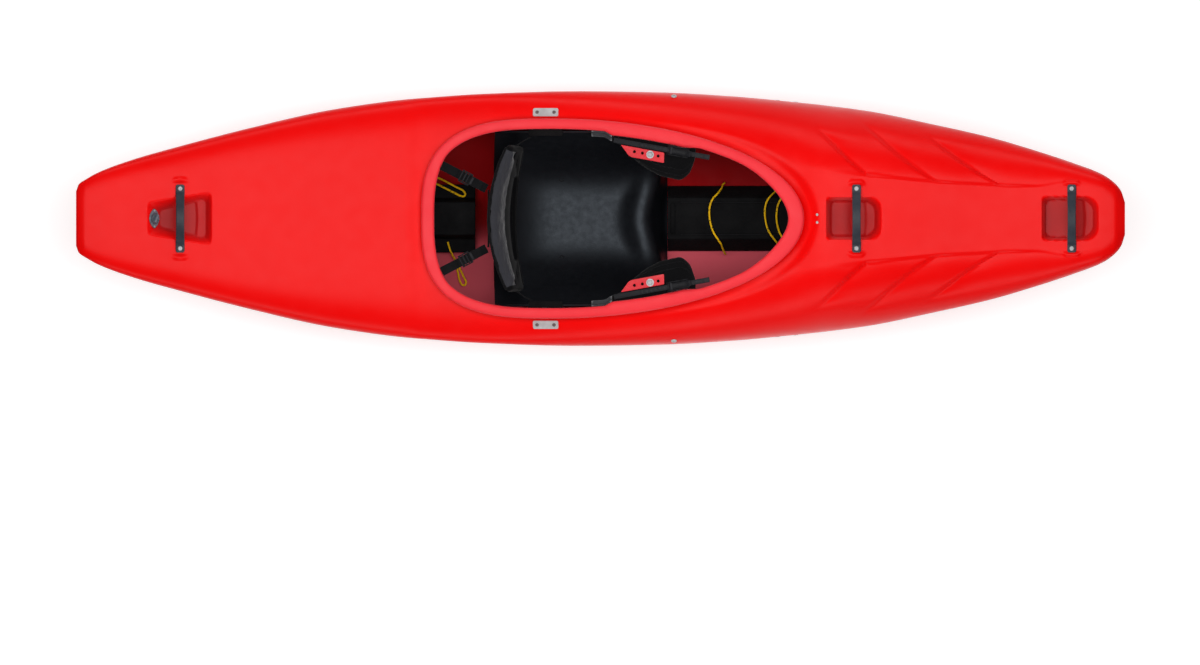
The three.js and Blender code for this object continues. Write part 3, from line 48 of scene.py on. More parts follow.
# Lines of the hull, stern to bow, as shares: place, half breadth, keel, sheer, deck, bottom flat,
# deck flat, bottom power, deck power
LINES = (
    (-0.5, 0.212, 0.773, 0.782, 0.791, 0.3, 0.4, 2.2, 2.2),
    (-0.4974, 0.267, 0.76, 0.779, 0.803, 0.3, 0.45, 2.2, 2.3),
    (-0.4907, 0.306, 0.747, 0.773, 0.815, 0.3, 0.5, 2.2, 2.4),
    (-0.4778, 0.364, 0.718, 0.755, 0.813, 0.3, 0.55, 2.3, 2.5),
    (-0.4444, 0.464, 0.645, 0.7, 0.783, 0.3, 0.55, 2.4, 2.6),
    (-0.4, 0.567, 0.533, 0.637, 0.747, 0.3, 0.55, 2.5, 2.7),
    (-0.3333, 0.709, 0.386, 0.564, 0.692, 0.3, 0.55, 2.6, 2.8),
    (-0.2593, 0.845, 0.256, 0.514, 0.663, 0.3, 0.52, 2.7, 2.8),
    (-0.1889, 0.927, 0.157, 0.491, 0.642, 0.3, 0.5, 2.8, 2.8),
    (-0.1685, 0.941, 0.132, 0.487, 0.611, 0.3, 0.5, 2.8, 2.8),
    (-0.1111, 0.973, 0.073, 0.478, 0.606, 0.3, 0.5, 2.8, 2.8),
    (-0.0222, 0.994, 0, 0.473, 0.684, 0.3, 0.48, 2.8, 2.6),
    (0.0556, 0.985, 0, 0.473, 0.768, 0.3, 0.46, 2.8, 2.4),
    (0.1222, 0.956, 0, 0.48, 0.851, 0.3, 0.44, 2.8, 2.2),
    (0.1852, 0.909, 0.018, 0.501, 0.935, 0.3, 0.42, 2.7, 1.9),
    (0.2185, 0.879, 0.042, 0.514, 0.997, 0.3, 0.41, 2.6, 1.7),
    (0.2593, 0.833, 0.086, 0.538, 0.966, 0.28, 0.39, 2.5, 1.7),
    (0.3148, 0.739, 0.18, 0.59, 0.922, 0.26, 0.38, 2.4, 1.7),
    (0.3704, 0.636, 0.311, 0.65, 0.896, 0.24, 0.4, 2.3, 1.8),
    (0.4148, 0.53, 0.457, 0.721, 0.903, 0.22, 0.46, 2.2, 2),
    (0.4519, 0.43, 0.614, 0.789, 0.927, 0.2, 0.62, 2.1, 2.1),
    (0.4778, 0.348, 0.739, 0.849, 0.949, 0.2, 0.6, 2.1, 2.2),
    (0.4896, 0.282, 0.802, 0.88, 0.944, 0.2, 0.5, 2.1, 2.2),
    (0.4963, 0.215, 0.841, 0.893, 0.924, 0.2, 0.4, 2.1, 2.1),
    (0.5, 0.127, 0.885, 0.897, 0.909, 0.2, 0.3, 2.1, 2.1),
)

# Scoops of the foredeck: root, sweep aft, reach outboard
FEATHERS = ((0.69, 0.15, 0.12), (0.87, 0.235, 0.16), (1.035, 0.225, 0.135))
FEATHER_DEPTH, FEATHER_RUN, FEATHER_EDGE = 0.0145, 0.065, 0.008
LEDGE_DEPTH, LEDGE_RUN = 0.0035, 0.06

# Rim of the cockpit
RIM_X, RIM_AFT, RIM_FORE, RIM_HALF, RIM_AFT_POWER = -0.125, 0.337, 0.649, 0.2575, 2.95
RIM_TOPS = ((-0.175, 0.658), (-0.1565, 0.664), (-0.067, 0.71), (0.004, 0.774), (0.075, 0.862),
            (0.1463, 0.946), (0.195, 1.017))
RIM_LIP, RIM_RISER, RIM_SKIRT = 0.015, 0.008, 0.034

# Recesses under the handles: middle, length, aft half, fore half, depth, reach of the aft, fore and
# side slopes, fore corner
POCKETS = {
    "stern": (-1.084, 0.167, 0.044, 0.066, 0.030, 0.034, 0.018, 0.020, 0.010),
    "cockpit": (0.652, 0.144, 0.055, 0.055, 0.038, 0.014, 0.021, 0.011, 0.030),
    "bow": (1.209, 0.147, 0.057, 0.057, 0.030, 0.012, 0.017, 0.010, 0.034),
}
HANDLES = {"stern": -1.082, "cockpit": 0.659, "bow": 1.213}
# Brows beyond the handles' ends: outer edge, half length, end fade
BROWS = {"stern": (0.104, 0.018, 0.020), "cockpit": (0.097, 0.026, 0.010), "bow": (0.097, 0.026, 0.010)}


# Curves of the hull
def curve_through(rows, column=1):
    """A smooth curve through rows that never overshoots them."""
    xs = np.array([row[0] for row in rows], float)
    ys = np.array([row[column] for row in rows], float)
    slopes = np.diff(ys) / np.diff(xs)
    tangents = np.zeros(len(xs))
    tangents[0], tangents[-1] = slopes[0], slopes[-1]
    for i in range(1, len(xs) - 1):
        a, b = slopes[i - 1], slopes[i]
        tangents[i] = 0 if a * b <= 0 else 2 * a * b / (a + b)

    def value(x):
        x = np.clip(np.asarray(x, float), xs[0], xs[-1])
        i = np.clip(np.searchsorted(xs, x, side="right") - 1, 0, len(xs) - 2)
        span = xs[i + 1] - xs[i]
        t = (x - xs[i]) / span
        return ((1 + 2 * t) * (1 - t) ** 2 * ys[i] + t * (1 - t) ** 2 * span * tangents[i]
                + t * t * (3 - 2 * t) * ys[i + 1] + t * t * (t - 1) * span * tangents[i + 1])
    return value


def smooth_step(x, start, end):
    t = np.clip((np.asarray(x, float) - start) / (end - start), 0, 1)
    return t * t * (3 - 2 * t)


def unit(vectors):
    """Vectors of length 1, along the last axis."""
    vectors = np.asarray(vectors, float)
    return vectors / np.maximum(np.linalg.norm(vectors, axis=-1, keepdims=True), 1e-12)


def run_lengths(path):
    """How far along a path each of its places lies."""
    steps = np.linalg.norm(np.diff(np.asarray(path, float), axis=0), axis=1)
    return np.concatenate([[0], np.cumsum(steps)])


def outline_out(points):
    """Outward directions at the points of a closed outline that turns leftward."""
    along = unit(np.roll(points, -1, axis=0) - np.roll(points, 1, axis=0))
    return np.stack([along[:, 1], -along[:, 0]], axis=1)


LINE_CURVES = [curve_through(LINES, column) for column in range(1, 9)]
rim_top = curve_through([(x * LENGTH, z * DEPTH) for x, z in RIM_TOPS])


def section(x):
    """half breadth, keel, sheer, deck, bottom flat, deck flat, bottom power, deck power at x."""
    half, keel, sheer, deck, floor_flat, deck_flat, floor_power, deck_power = [
        line(np.asarray(x) / LENGTH) for line in LINE_CURVES]
    half = half * BEAM / 2
    return (half, keel * DEPTH, sheer * DEPTH, deck * DEPTH, floor_flat * half, deck_flat * half,
            floor_power, deck_power)


def feather_drop(x, y):
    outboard = np.abs(y) - section(x)[5]
    drop = np.zeros(np.broadcast(x, y).shape)
    for root, sweep, reach in FEATHERS:
        share = np.clip(outboard / reach, 0, 1)
        ahead = x - (root - sweep * share ** 0.8)
        fade = (0.7 + 0.3 * smooth_step(share, 0, 0.3)) * (1 - smooth_step(share, 0.6, 1.0))
        fade = fade * smooth_step(outboard, 0, 0.007)
        one = FEATHER_DEPTH * fade * smooth_step(ahead, 0, FEATHER_EDGE) * np.exp(
            -np.maximum(ahead, 0) / FEATHER_RUN)
        drop = np.maximum(drop, np.where(ahead > 0, one, 0))
    ledge = smooth_step(outboard, 0, 0.007) * np.exp(-np.maximum(outboard, 0) / LEDGE_RUN)
    ledge = ledge * smooth_step(x, 0.56, 0.72) * (1 - smooth_step(x, 1.03, 1.13))
    return np.maximum(drop, LEDGE_DEPTH * ledge)


def deck_height(x, y, inset=0.0):
    half, _, sheer, deck, _, flat, _, power = section(x)
    share = np.clip((np.abs(y) - flat) / (half - inset - flat), 0, 1)
    return sheer + (deck - inset - sheer) * (1 - share ** power) ** (1 / power)


def breadth_at(x, z, inset=0.0):
    half, keel, sheer, deck, floor_flat, deck_flat, floor_power, deck_power = section(x)
    if z < sheer:
        power, flat, height = floor_power, floor_flat, sheer - keel - inset
    else:
        power, flat, height = deck_power, deck_flat, deck - inset - sheer
    share = min(1, abs(sheer - z) / height)
    return flat + (half - inset - flat) * (1 - share ** power) ** (1 / power)


def signed_distance(points, outline):
    """Distance of points to a closed outline, below 0 inside, and the nearest places on it."""
    a = np.asarray(outline, float)
    b = np.roll(a, -1, axis=0)
    best = np.full(len(points), np.inf)
    nearest = np.zeros((len(points), 2))
    inside = np.zeros(len(points), bool)
    for (ax, ay), (bx, by) in zip(a, b):
        edge = np.array((bx - ax, by - ay))
        t = np.clip(((points - (ax, ay)) @ edge) / max(edge @ edge, 1e-15), 0, 1)
        place = np.array((ax, ay)) + t[:, None] * edge
        distance = np.hypot(*(points - place).T)
        closer = distance < best
        best[closer] = distance[closer]
        nearest[closer] = place[closer]
        crosses = (ay > points[:, 1]) != (by > points[:, 1])
        if by != ay:
            inside ^= crosses & (points[:, 0] < (bx - ax) * (points[:, 1] - ay) / (by - ay) + ax)
    return np.where(inside, -best, best), nearest


def pocket_outline(pocket, slope):
    x, length, aft_half, fore_half, _, aft_slope, fore_slope, side_slope, corner = pocket
    aft, fore = x - length / 2 + aft_slope * slope, x + length / 2 - fore_slope * slope
    aft_half, fore_half = aft_half - side_slope * slope, fore_half - side_slope * slope
    small = 0.010
    side = [(aft, aft_half - small), (aft + small * 0.3, aft_half - small * 0.3), (aft + small, aft_half)]
    for k in range(9):
        angle = k / 8 * math.pi / 2
        side.append((fore - corner + corner * math.sin(angle),
                     fore_half - corner + corner * math.cos(angle)))
    return side + [(px, -py) for px, py in reversed(side)]


def band_width(x):
    aft, fore = RIM_X - RIM_AFT, RIM_X + RIM_FORE
    hook = smooth_step(x, 0.010, 0.036) * (1 - smooth_step(x, 0.216, 0.268))
    return (0.027 + 0.007 * (1 - smooth_step(x, aft, aft + 0.054))
            + 0.014 * smooth_step(x, fore - 0.162, fore) + 0.009 * hook)


def rim_line(segments):
    """Points of the rim's outer line, outward directions and widths of its band."""
    def at(angle):
        c, s = math.cos(angle), math.sin(angle)
        exponent, reach = (1, RIM_FORE) if c >= 0 else (2 / RIM_AFT_POWER, RIM_AFT)
        return np.array((RIM_X + reach * math.copysign(abs(c) ** exponent, c),
                         RIM_HALF * math.copysign(abs(s) ** exponent, s)))
    dense = np.array([at(k / 4000 * 2 * math.pi) for k in range(4001)])
    lengths = run_lengths(dense)
    places = np.linspace(0, lengths[-1], segments, endpoint=False)
    points = np.stack([np.interp(places, lengths, dense[:, i]) for i in (0, 1)], axis=1)
    return points, outline_out(points), band_width(points[:, 0])


def rim_inset(inward, segments=360):
    """The rim's line moved inward by inward(band)."""
    points, out, band = rim_line(segments)
    return points - out * inward(band)[:, None]


# Mesh helpers
def grid_faces(rows, columns, wrap_rows=False, wrap_columns=False):
    r = np.arange(rows if wrap_rows else rows - 1)
    c = np.arange(columns if wrap_columns else columns - 1)
    r, c = np.meshgrid(r, c, indexing="ij")
    r, c = r.ravel(), c.ravel()
    r2, c2 = (r + 1) % rows, (c + 1) % columns
    return np.stack([r * columns + c, r2 * columns + c, r2 * columns + c2, r * columns + c2], axis=1)


def skin(rings, flip=False, closed=False):
    """Points and faces over equal rings, with a cap at each end unless the rings close up."""
    points = np.concatenate([np.asarray(ring, float) for ring in rings])
    count = len(rings[0])
    faces = [tuple(f) for f in grid_faces(len(rings), count, closed, True)]
    first, last = tuple(range(count)), tuple(range(len(points) - count, len(points)))
    if not closed:
        faces += [first[::-1], last] if flip else [first, last[::-1]]
    return points, faces


def piece(name, points, faces, material, body="hull", replaces=(), slot=None, sharp=None, uvs=None):
    """A mesh object that rides on a body. uvs holds one place per point."""
    mesh = bpy.data.meshes.new(name)
    mesh.from_pydata([tuple(map(float, p)) for p in points], [], [tuple(map(int, f)) for f in faces])
    if uvs is not None:
        layer = mesh.uv_layers.new(name="UVMap")
        for loop in mesh.loops:
            layer.data[loop.index].uv = tuple(uvs[loop.vertex_index])
    mesh.materials.append(material)
    mesh.shade_smooth()
    if sharp:
        mesh.set_sharp_from_angle(angle=math.radians(sharp))
    obj = bpy.data.objects.new(name, mesh)
    SCENE.collection.objects.link(obj)
    return attach(obj, body, replaces)


def attach(obj, body, replaces=()):
    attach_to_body(obj, body)
    if replaces:
        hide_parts(*([replaces] if isinstance(replaces, str) else replaces))
    return obj


def bake(obj):
    """Applies every modifier of a piece to its mesh."""
    evaluated = obj.evaluated_get(bpy.context.evaluated_depsgraph_get())
    mesh = bpy.data.meshes.new_from_object(evaluated)
    obj.modifiers.clear()
    obj.data = mesh
    return obj


def point_places(obj):
    return np.array([tuple(v.co) for v in obj.data.vertices])


def move_points(obj, offsets):
    obj.data.vertices.foreach_set("co", (point_places(obj) + offsets).ravel())
    obj.data.update()


def modify(obj, kind, **settings):
    modifier = obj.modifiers.new(kind.title(), kind)
    for key, value in settings.items():
        setattr(modifier, key, value)
    return modifier


def smooth(obj, sharp=None):
    """Smooth faces, with edges over an angle in degrees kept sharp."""
    obj.data.shade_smooth()
    if sharp:
        obj.data.set_sharp_from_angle(angle=math.radians(sharp))


def finish(obj, sharp=None):
    """Faces turned outward and smoothed."""
    bm = bmesh.new()
    bm.from_mesh(obj.data)
    bmesh.ops.recalc_face_normals(bm, faces=bm.faces)
    bm.to_mesh(obj.data)
    bm.free()
    smooth(obj, sharp)


def paint_from(obj, first_face, material):
    """Gives a second material to the faces from first_face on."""
    obj.data.materials.append(material)
    for polygon in obj.data.polygons[first_face:]:
        polygon.material_index = 1


def catmull(points, step):
    """Places about a step apart on a centripetal curve through points."""
    pts = [np.array(p, float) for p in points]
    pts = [2 * pts[0] - pts[1]] + pts + [2 * pts[-1] - pts[-2]]
    out = []
    for i in range(1, len(pts) - 2):
        p0, p1, p2, p3 = pts[i - 1:i + 3]
        t0 = 0.0
        t1 = t0 + np.linalg.norm(p1 - p0) ** 0.5
        t2 = t1 + np.linalg.norm(p2 - p1) ** 0.5
        t3 = t2 + np.linalg.norm(p3 - p2) ** 0.5
        count = max(2, int(round(np.linalg.norm(p2 - p1) / step)))
        for t in np.linspace(t1, t2, count, endpoint=False):
            a1 = (t1 - t) / (t1 - t0) * p0 + (t - t0) / (t1 - t0) * p1
            a2 = (t2 - t) / (t2 - t1) * p1 + (t - t1) / (t2 - t1) * p2
            a3 = (t3 - t) / (t3 - t2) * p2 + (t - t2) / (t3 - t2) * p3
            b1 = (t2 - t) / (t2 - t0) * a1 + (t - t0) / (t2 - t0) * a2
            b2 = (t3 - t) / (t3 - t1) * a2 + (t - t1) / (t3 - t1) * a3
            out.append((t2 - t) / (t2 - t1) * b1 + (t - t1) / (t2 - t1) * b2)
    out.append(pts[-2])
    return np.array(out)


def run_frames(path, up):
    """Directions across and up at each place of a path, without twist against up."""
    along = unit(np.gradient(path, axis=0))
    across = unit(np.cross(np.broadcast_to(np.asarray(up, float), along.shape), along))
    return across, np.cross(along, across)


def carried_frames(path):
    """Directions across and up that turn as little as they can along a path, for tubes."""
    along = unit(np.gradient(path, axis=0))
    up = np.array((0.0, 0.0, 1.0))
    ups = []
    for direction in along:
        up = up - direction * (up @ direction)
        if np.linalg.norm(up) < 1e-6:
            up = np.array((1.0, 0, 0)) - direction * direction[0]
        up = unit(up)
        ups.append(up)
    return np.cross(ups, along), np.array(ups)


def tube_mesh(path, radius, sides=12, bump=None):
    """Points, faces and UVs of a tube with flat ends. bump(length, angles) swells its rings."""
    path = np.asarray(path, float)
    across, ups = carried_frames(path)
    angles = np.arange(sides) / sides * 2 * math.pi
    cosines, sines = np.cos(angles)[:, None], np.sin(angles)[:, None]
    lengths = run_lengths(path)
    rings = []
    for i, place in enumerate(path):
        r = radius * (1 if bump is None else 1 + bump(lengths[i], angles))
        rings.append(place + (across[i] * cosines + ups[i] * sines) * np.reshape(r, (-1, 1)))
    uvs = [(a / (2 * math.pi), length) for length in lengths for a in angles]
    return (*skin(rings), uvs)


def strap_mesh(path, width, thickness, up=(0, 0, 1), end_round=0.0, ribs=5):
    """Points, faces and UVs of a flat band with soft edges, its width across the path."""
    path = np.asarray(path, float)
    across, normal = run_frames(path, up)
    lengths = run_lengths(path)
    widths = np.broadcast_to(np.asarray(width, float), (len(path),)).copy()
    if end_round:
        near = np.minimum(lengths, lengths[-1] - lengths)
        share = np.clip(near / end_round, 0, 1)
        widths *= 0.55 + 0.45 * np.sqrt(1 - (1 - share) ** 2)
    profile = [(-0.5, 0.0), (-0.485, 0.38), (-0.455, 0.5)]
    profile += [(k / (ribs + 1) * 0.91 - 0.455, 0.5 - 0.03 * math.sin(k / (ribs + 1) * math.pi))
                for k in range(1, ribs + 1)]
    profile += [(0.455, 0.5), (0.485, 0.38), (0.5, 0.0)]
    profile += [(x, -z) for x, z in reversed(profile[1:-1])]
    rings, uvs = [], []
    for i, place in enumerate(path):
        rings.append([place + across[i] * px * widths[i] + normal[i] * pz * thickness
                      for px, pz in profile])
        uvs += [((px + 0.5) * widths[i], lengths[i]) for px, _ in profile]
    return (*skin(rings, flip=True), uvs)


def lathe_mesh(rows, segments, hexes=()):
    """A turned body on Z from (radius, height) rows; rows whose index is in hexes are six-sided."""
    angles = np.arange(segments) / segments * 2 * math.pi
    six_sided = math.cos(math.pi / 6) / np.cos(angles % (math.pi / 3) - math.pi / 6)
    rings = []
    for index, (radius, height) in enumerate(rows):
        reach = radius * (six_sided if index in hexes else np.ones(segments))
        heights = np.full(segments, height)
        rings.append(np.column_stack([reach * np.cos(angles), reach * np.sin(angles), heights]))
    return skin(rings, flip=True)


def join(parts):
    """One set of points and faces from several."""
    points, faces, offset = [], [], 0
    for part_points, part_faces, *_ in parts:
        points.append(np.asarray(part_points, float))
        faces += [tuple(int(i) + offset for i in f) for f in part_faces]
        offset += len(part_points)
    return np.concatenate(points), faces


def placed(points, origin, x_axis, normal):
    """Points of a flat frame moved to a place with the given X axis and normal."""
    z = unit(normal)
    x = np.array(x_axis, float)
    x = unit(x - z * (x @ z))
    return np.array(origin) + np.asarray(points) @ np.stack([x, np.cross(z, x), z])


def rounded_box(size, radius, place=(0, 0, 0)):
    """Points and faces of a box centred on a place with rounded edges."""
    bm = bmesh.new()
    bmesh.ops.create_cube(bm, size=1.0)
    bmesh.ops.scale(bm, vec=size, verts=bm.verts)
    bmesh.ops.bevel(bm, geom=list(bm.edges), offset=radius, segments=3, affect="EDGES", profile=0.5)
    points = np.array([tuple(v.co) for v in bm.verts]) + place
    faces = [tuple(v.index for v in f.verts) for f in bm.faces]
    bm.free()
    return points, faces


def slab(outline, low, high, edge=0.0008):
    """A plate with soft upper and lower edges from an outline that turns leftward."""
    outline = np.asarray(outline, float)
    out = outline_out(outline)
    rings = []
    for inset, height in ((edge, low), (edge * 0.3, low + edge * 0.3), (0, low + edge),
                          (0, high - edge), (edge * 0.3, high - edge * 0.3), (edge, high)):
        rings.append(np.column_stack([outline - out * inset, np.full(len(outline), height)]))
    return skin(rings, flip=True)


# Materials
class Graph:
    """The nodes of a material or a world, and short ways to add to them."""

    def __init__(self, owner):
        owner.use_nodes = True
        self.tree = owner.node_tree
        self.shader = self.tree.nodes.get("Principled BSDF")

    def feed(self, node, inputs):
        """Each input gets a link where it is given a socket, and a value otherwise."""
        for key, value in inputs.items():
            if hasattr(value, "is_output"):
                self.tree.links.new(value, node.inputs[key])
            else:
                node.inputs[key].default_value = value

    def add(self, kind, output, inputs=None, **settings):
        """One output of a new node."""
        node = self.tree.nodes.new("ShaderNode" + kind)
        for key, value in settings.items():
            setattr(node, key, value)
        self.feed(node, inputs or {})
        return node.outputs[output]

    def math(self, operation, first, second):
        return self.add("Math", "Value", {0: first, 1: second}, operation=operation)

    def noise(self, place, scale, detail=3.0, stretch=None):
        if stretch:
            place = self.add("Mapping", "Vector", {"Scale": stretch, "Vector": place})
        return self.add("TexNoise", "Fac", {"Scale": scale, "Detail": detail, "Vector": place})

    def spread(self, source, low, high, start=0.3, end=0.7):
        return self.add("MapRange", "Result", {"Value": source, "From Min": start, "From Max": end,
                                               "To Min": low, "To Max": high})

    def blend(self, factor, first, second):
        first, second = [c if hasattr(c, "is_output") else (*c, 1) for c in (first, second)]
        return self.add("Mix", 2, {"Factor": factor, 6: first, 7: second}, data_type="RGBA")

    def bump(self, heights):
        """Bumps of several heights in mm, one after another, onto the shader's normal."""
        chained = {}
        for source, strength, depth in heights:
            inputs = {"Strength": strength, "Distance": depth * MM, "Height": source, **chained}
            chained = {"Normal": self.add("Bump", "Normal", inputs)}
        self.feed(self.shader, chained)


def graph(name):
    """A new material, its graph, and places in the object's frame and in the UV map."""
    material = bpy.data.materials.new(name)
    g = Graph(material)
    return material, g, g.add("TexCoord", "Object"), g.add("TexCoord", "UV")


# The scale at which a wave texture repeats once in each unit
WAVE_SCALE = 0.314


def plastic(name, colour, second, roughness, grain=900.0, depth=0.1, spots=6.0, level=0.5, wear_and_edge_highlight=None,
            coat=0.0, metal=0.0, painted_shading=None, where="recess", sheen=0.0, tint=(1, 1, 1)):
    """Moulded plastic, foam or metal: mottled colour, uneven gloss, fine grain, edges coloured as wear and,
    on some materials, as painted highlight, and painted shade and light from a mask attribute.
    """
    material, g, place, _ = graph(name)
    shade = g.blend(g.spread(g.noise(place, spots, 4.0), 0.0, 1.0), colour, second)
    if wear_and_edge_highlight:
        edge = g.spread(g.add("NewGeometry", "Pointiness"), 0.0, 0.7, 0.52, 0.62)
        shade = g.blend(edge, shade, wear_and_edge_highlight)
    # Painted shading: the colour turns to another tone where the mask attribute is high, as painted shade or
    # painted light.
    if painted_shading:
        shade = g.blend(g.add("Attribute", "Fac", attribute_name=where), shade, painted_shading)
    gloss = g.noise(place, spots * 9, 5.0)
    g.feed(g.shader, {"Base Color": shade, "Metallic": metal, "Specular IOR Level": level,
                      "Roughness": g.spread(gloss, roughness * 0.88, roughness * 1.14),
                      "Specular Tint": (*tint, 1), "Sheen Weight": sheen, "Sheen Roughness": 0.25,
                      "Coat Weight": coat, "Coat Roughness": 0.2})
    broad, fine = g.noise(place, grain / 9, 2.0), g.noise(place, grain, 2.0)
    g.bump([(broad, depth * 0.5, 2.0), (fine, depth, 0.5)])
    return material


def woven(name, colour, second, pitch, roughness, depth=0.35, level=0.3, sheen=0.3, crease=0.0):
    """Cloth or webbing whose threads follow the UV map, which is in metres."""
    material, g, place, uv = graph(name)
    inputs = {"Scale": WAVE_SCALE / pitch, "Distortion": 0.6, "Detail Scale": 2.0, "Vector": uv}
    waves = [g.add("TexWave", "Fac", inputs, bands_direction=way) for way in ("X", "Y")]
    weave = g.math("MAXIMUM", *waves)
    mottle = g.noise(place, 40.0, 4.0)
    shade = g.blend(g.spread(weave, 1.0, 0.0, 0.2, 0.9), colour, second)
    shade = g.blend(g.spread(mottle, 0.0, 0.5), shade, second)
    rough = g.spread(mottle, roughness * 0.9, min(1, roughness * 1.1))
    g.feed(g.shader, {"Base Color": shade, "Roughness": rough, "Specular IOR Level": level,
                      "Sheen Weight": sheen})
    heights = [(weave, depth, 0.35)]
    if crease:
        heights.insert(0, (g.noise(place, 55.0, 3.0, (1.0, 0.35, 1.0)), crease, 6.0))
    g.bump(heights)
    return material


def braided(name, colour, fleck):
    """Cord: two families of threads crossing round it, with dark flecks."""
    material, g, place, uv = graph(name)
    waves = []
    for turn in (6.0, -6.0):
        wound = g.add("Mapping", "Vector", {"Scale": (turn, 260.0, 1.0), "Vector": uv})
        waves.append(g.add("TexWave", "Fac", {"Scale": WAVE_SCALE, "Vector": wound},
                           bands_direction="DIAGONAL"))
    cross = g.math("MULTIPLY", *waves)
    flecks = g.add("TexVoronoi", "Distance", {"Scale": 150.0, "Vector": place})
    shade = g.blend(g.spread(cross, 0.45, 0.0, 0.0, 0.3), colour, tuple(c * 0.6 for c in colour))
    shade = g.blend(g.spread(flecks, 1.0, 0.0, 0.16, 0.3), shade, fleck)
    g.feed(g.shader, {"Base Color": shade, "Roughness": 0.62, "Specular IOR Level": 0.15})
    g.bump([(cross, 0.6, 0.5)])
    return material


# The hull's red plastic, painted darker in the handles' recesses as shade.
HULL = plastic("hull_plastic", (0.84, 0.0012, 0.0012), (0.88, 0.0024, 0.0024), 0.33, 700.0, 0.05, 3.0, 0.10,
               painted_shading=(0.42, 0.009, 0.010), sheen=0.3)
# Inside of the hull: the same red plastic painted darker as shade, and painted lighter on the starboard side
# as light falling in through the opening.
PAINTED_SHADE_INSIDE = plastic("hull_inside_painted_shade", (0.24, 0.0008, 0.0020), (0.28, 0.0012, 0.0030), 0.5, 700.0, 0.08, 3.0, 0.03,
                 painted_shading=(0.62, 0.090, 0.120), where="painted_light_starboard")
RIM = plastic("rim_plastic", (0.84, 0.024, 0.036), (0.88, 0.034, 0.046), 0.5, 700.0, 0.10, 4.0, 0.2,
              sheen=0.25)
BLACK = plastic("satin_black", (0.006, 0.006, 0.0075), (0.009, 0.009, 0.011), 0.42, 800.0, 0.14, 9.0, 0.10,
                (0.03, 0.03, 0.035))
SEAT = plastic("seat_black", (0.0024, 0.0025, 0.0034), (0.004, 0.0042, 0.0056), 0.46, 800.0, 0.12, 7.0, 0.36,
               tint=(0.78, 0.88, 1.0))
HANDLE = plastic("handle_black", (0.012, 0.016, 0.024), (0.024, 0.030, 0.042), 0.45, 1100.0, 0.45, 30.0, 0.3,
                 (0.06, 0.07, 0.09))
FOAM = plastic("foam", (0.005, 0.005, 0.0055), (0.009, 0.009, 0.0095), 0.75, 1500.0, 0.6, 20.0, 0.04)
PLATE = plastic("red_plate", (0.60, 0.012, 0.022), (0.68, 0.02, 0.03), 0.4, 900.0, 0.12, 14.0, 0.2,
                (0.75, 0.12, 0.12))
STEEL = plastic("stainless", (0.42, 0.43, 0.44), (0.54, 0.55, 0.56), 0.6, 1600.0, 0.25, 50.0, 0.4,
                metal=0.55)
ZINC = plastic("pale_screw", (0.44, 0.43, 0.43), (0.56, 0.55, 0.55), 0.55, 1600.0, 0.2, 50.0, 0.4,
               metal=0.5)
SCREW = plastic("dull_screw", (0.12, 0.085, 0.085), (0.20, 0.16, 0.155), 0.5, 1600.0, 0.2, 60.0, 0.3,
                metal=0.3)
PLUG = plastic("plug_plastic", (0.055, 0.068, 0.085), (0.09, 0.105, 0.13), 0.35, 900.0, 0.15, 30.0, 0.6,
               (0.3, 0.35, 0.42), coat=0.3)
WEBBING = woven("webbing", (0.009, 0.009, 0.010), (0.003, 0.003, 0.0035), 0.0011, 0.75, level=0.04,
                sheen=0.06)
TRIM = woven("trim_fabric", (0.007, 0.007, 0.008), (0.003, 0.003, 0.0035), 0.0008, 0.8, level=0.04,
             sheen=0.06)
GREY = woven("grey_fabric", (0.105, 0.105, 0.125), (0.02, 0.02, 0.026), 0.0007, 0.7, level=0.2, crease=0.9)
# The bracket's pale edge colour is a painted highlight where its edges catch the light.
BRACKET = plastic("bracket_plastic", (0.02, 0.02, 0.023), (0.035, 0.035, 0.04), 0.45, 900.0, 0.15, 20.0,
                  0.1, (0.45, 0.45, 0.47))
PAD = woven("brace_pad_fabric", (0.007, 0.007, 0.008), (0.0035, 0.0035, 0.004), 0.0014, 0.8, depth=0.5,
            level=0.04, sheen=0.08, crease=0.4)
CORD = braided("yellow_cord", (0.95, 0.55, 0.004), (0.02, 0.02, 0.015))


# Camera, then the cords
CAMERA_SCALE, CAMERA_PLACE = 3.0888, (-0.0013, -0.2934, 2.0)


def add_camera():
    data = bpy.data.cameras.new("camera")
    data.type = "ORTHO"
    data.ortho_scale = CAMERA_SCALE
    camera = bpy.data.objects.new("camera", data)
    camera.location = CAMERA_PLACE
    SCENE.collection.objects.link(camera)
    SCENE.camera = camera


add_camera()

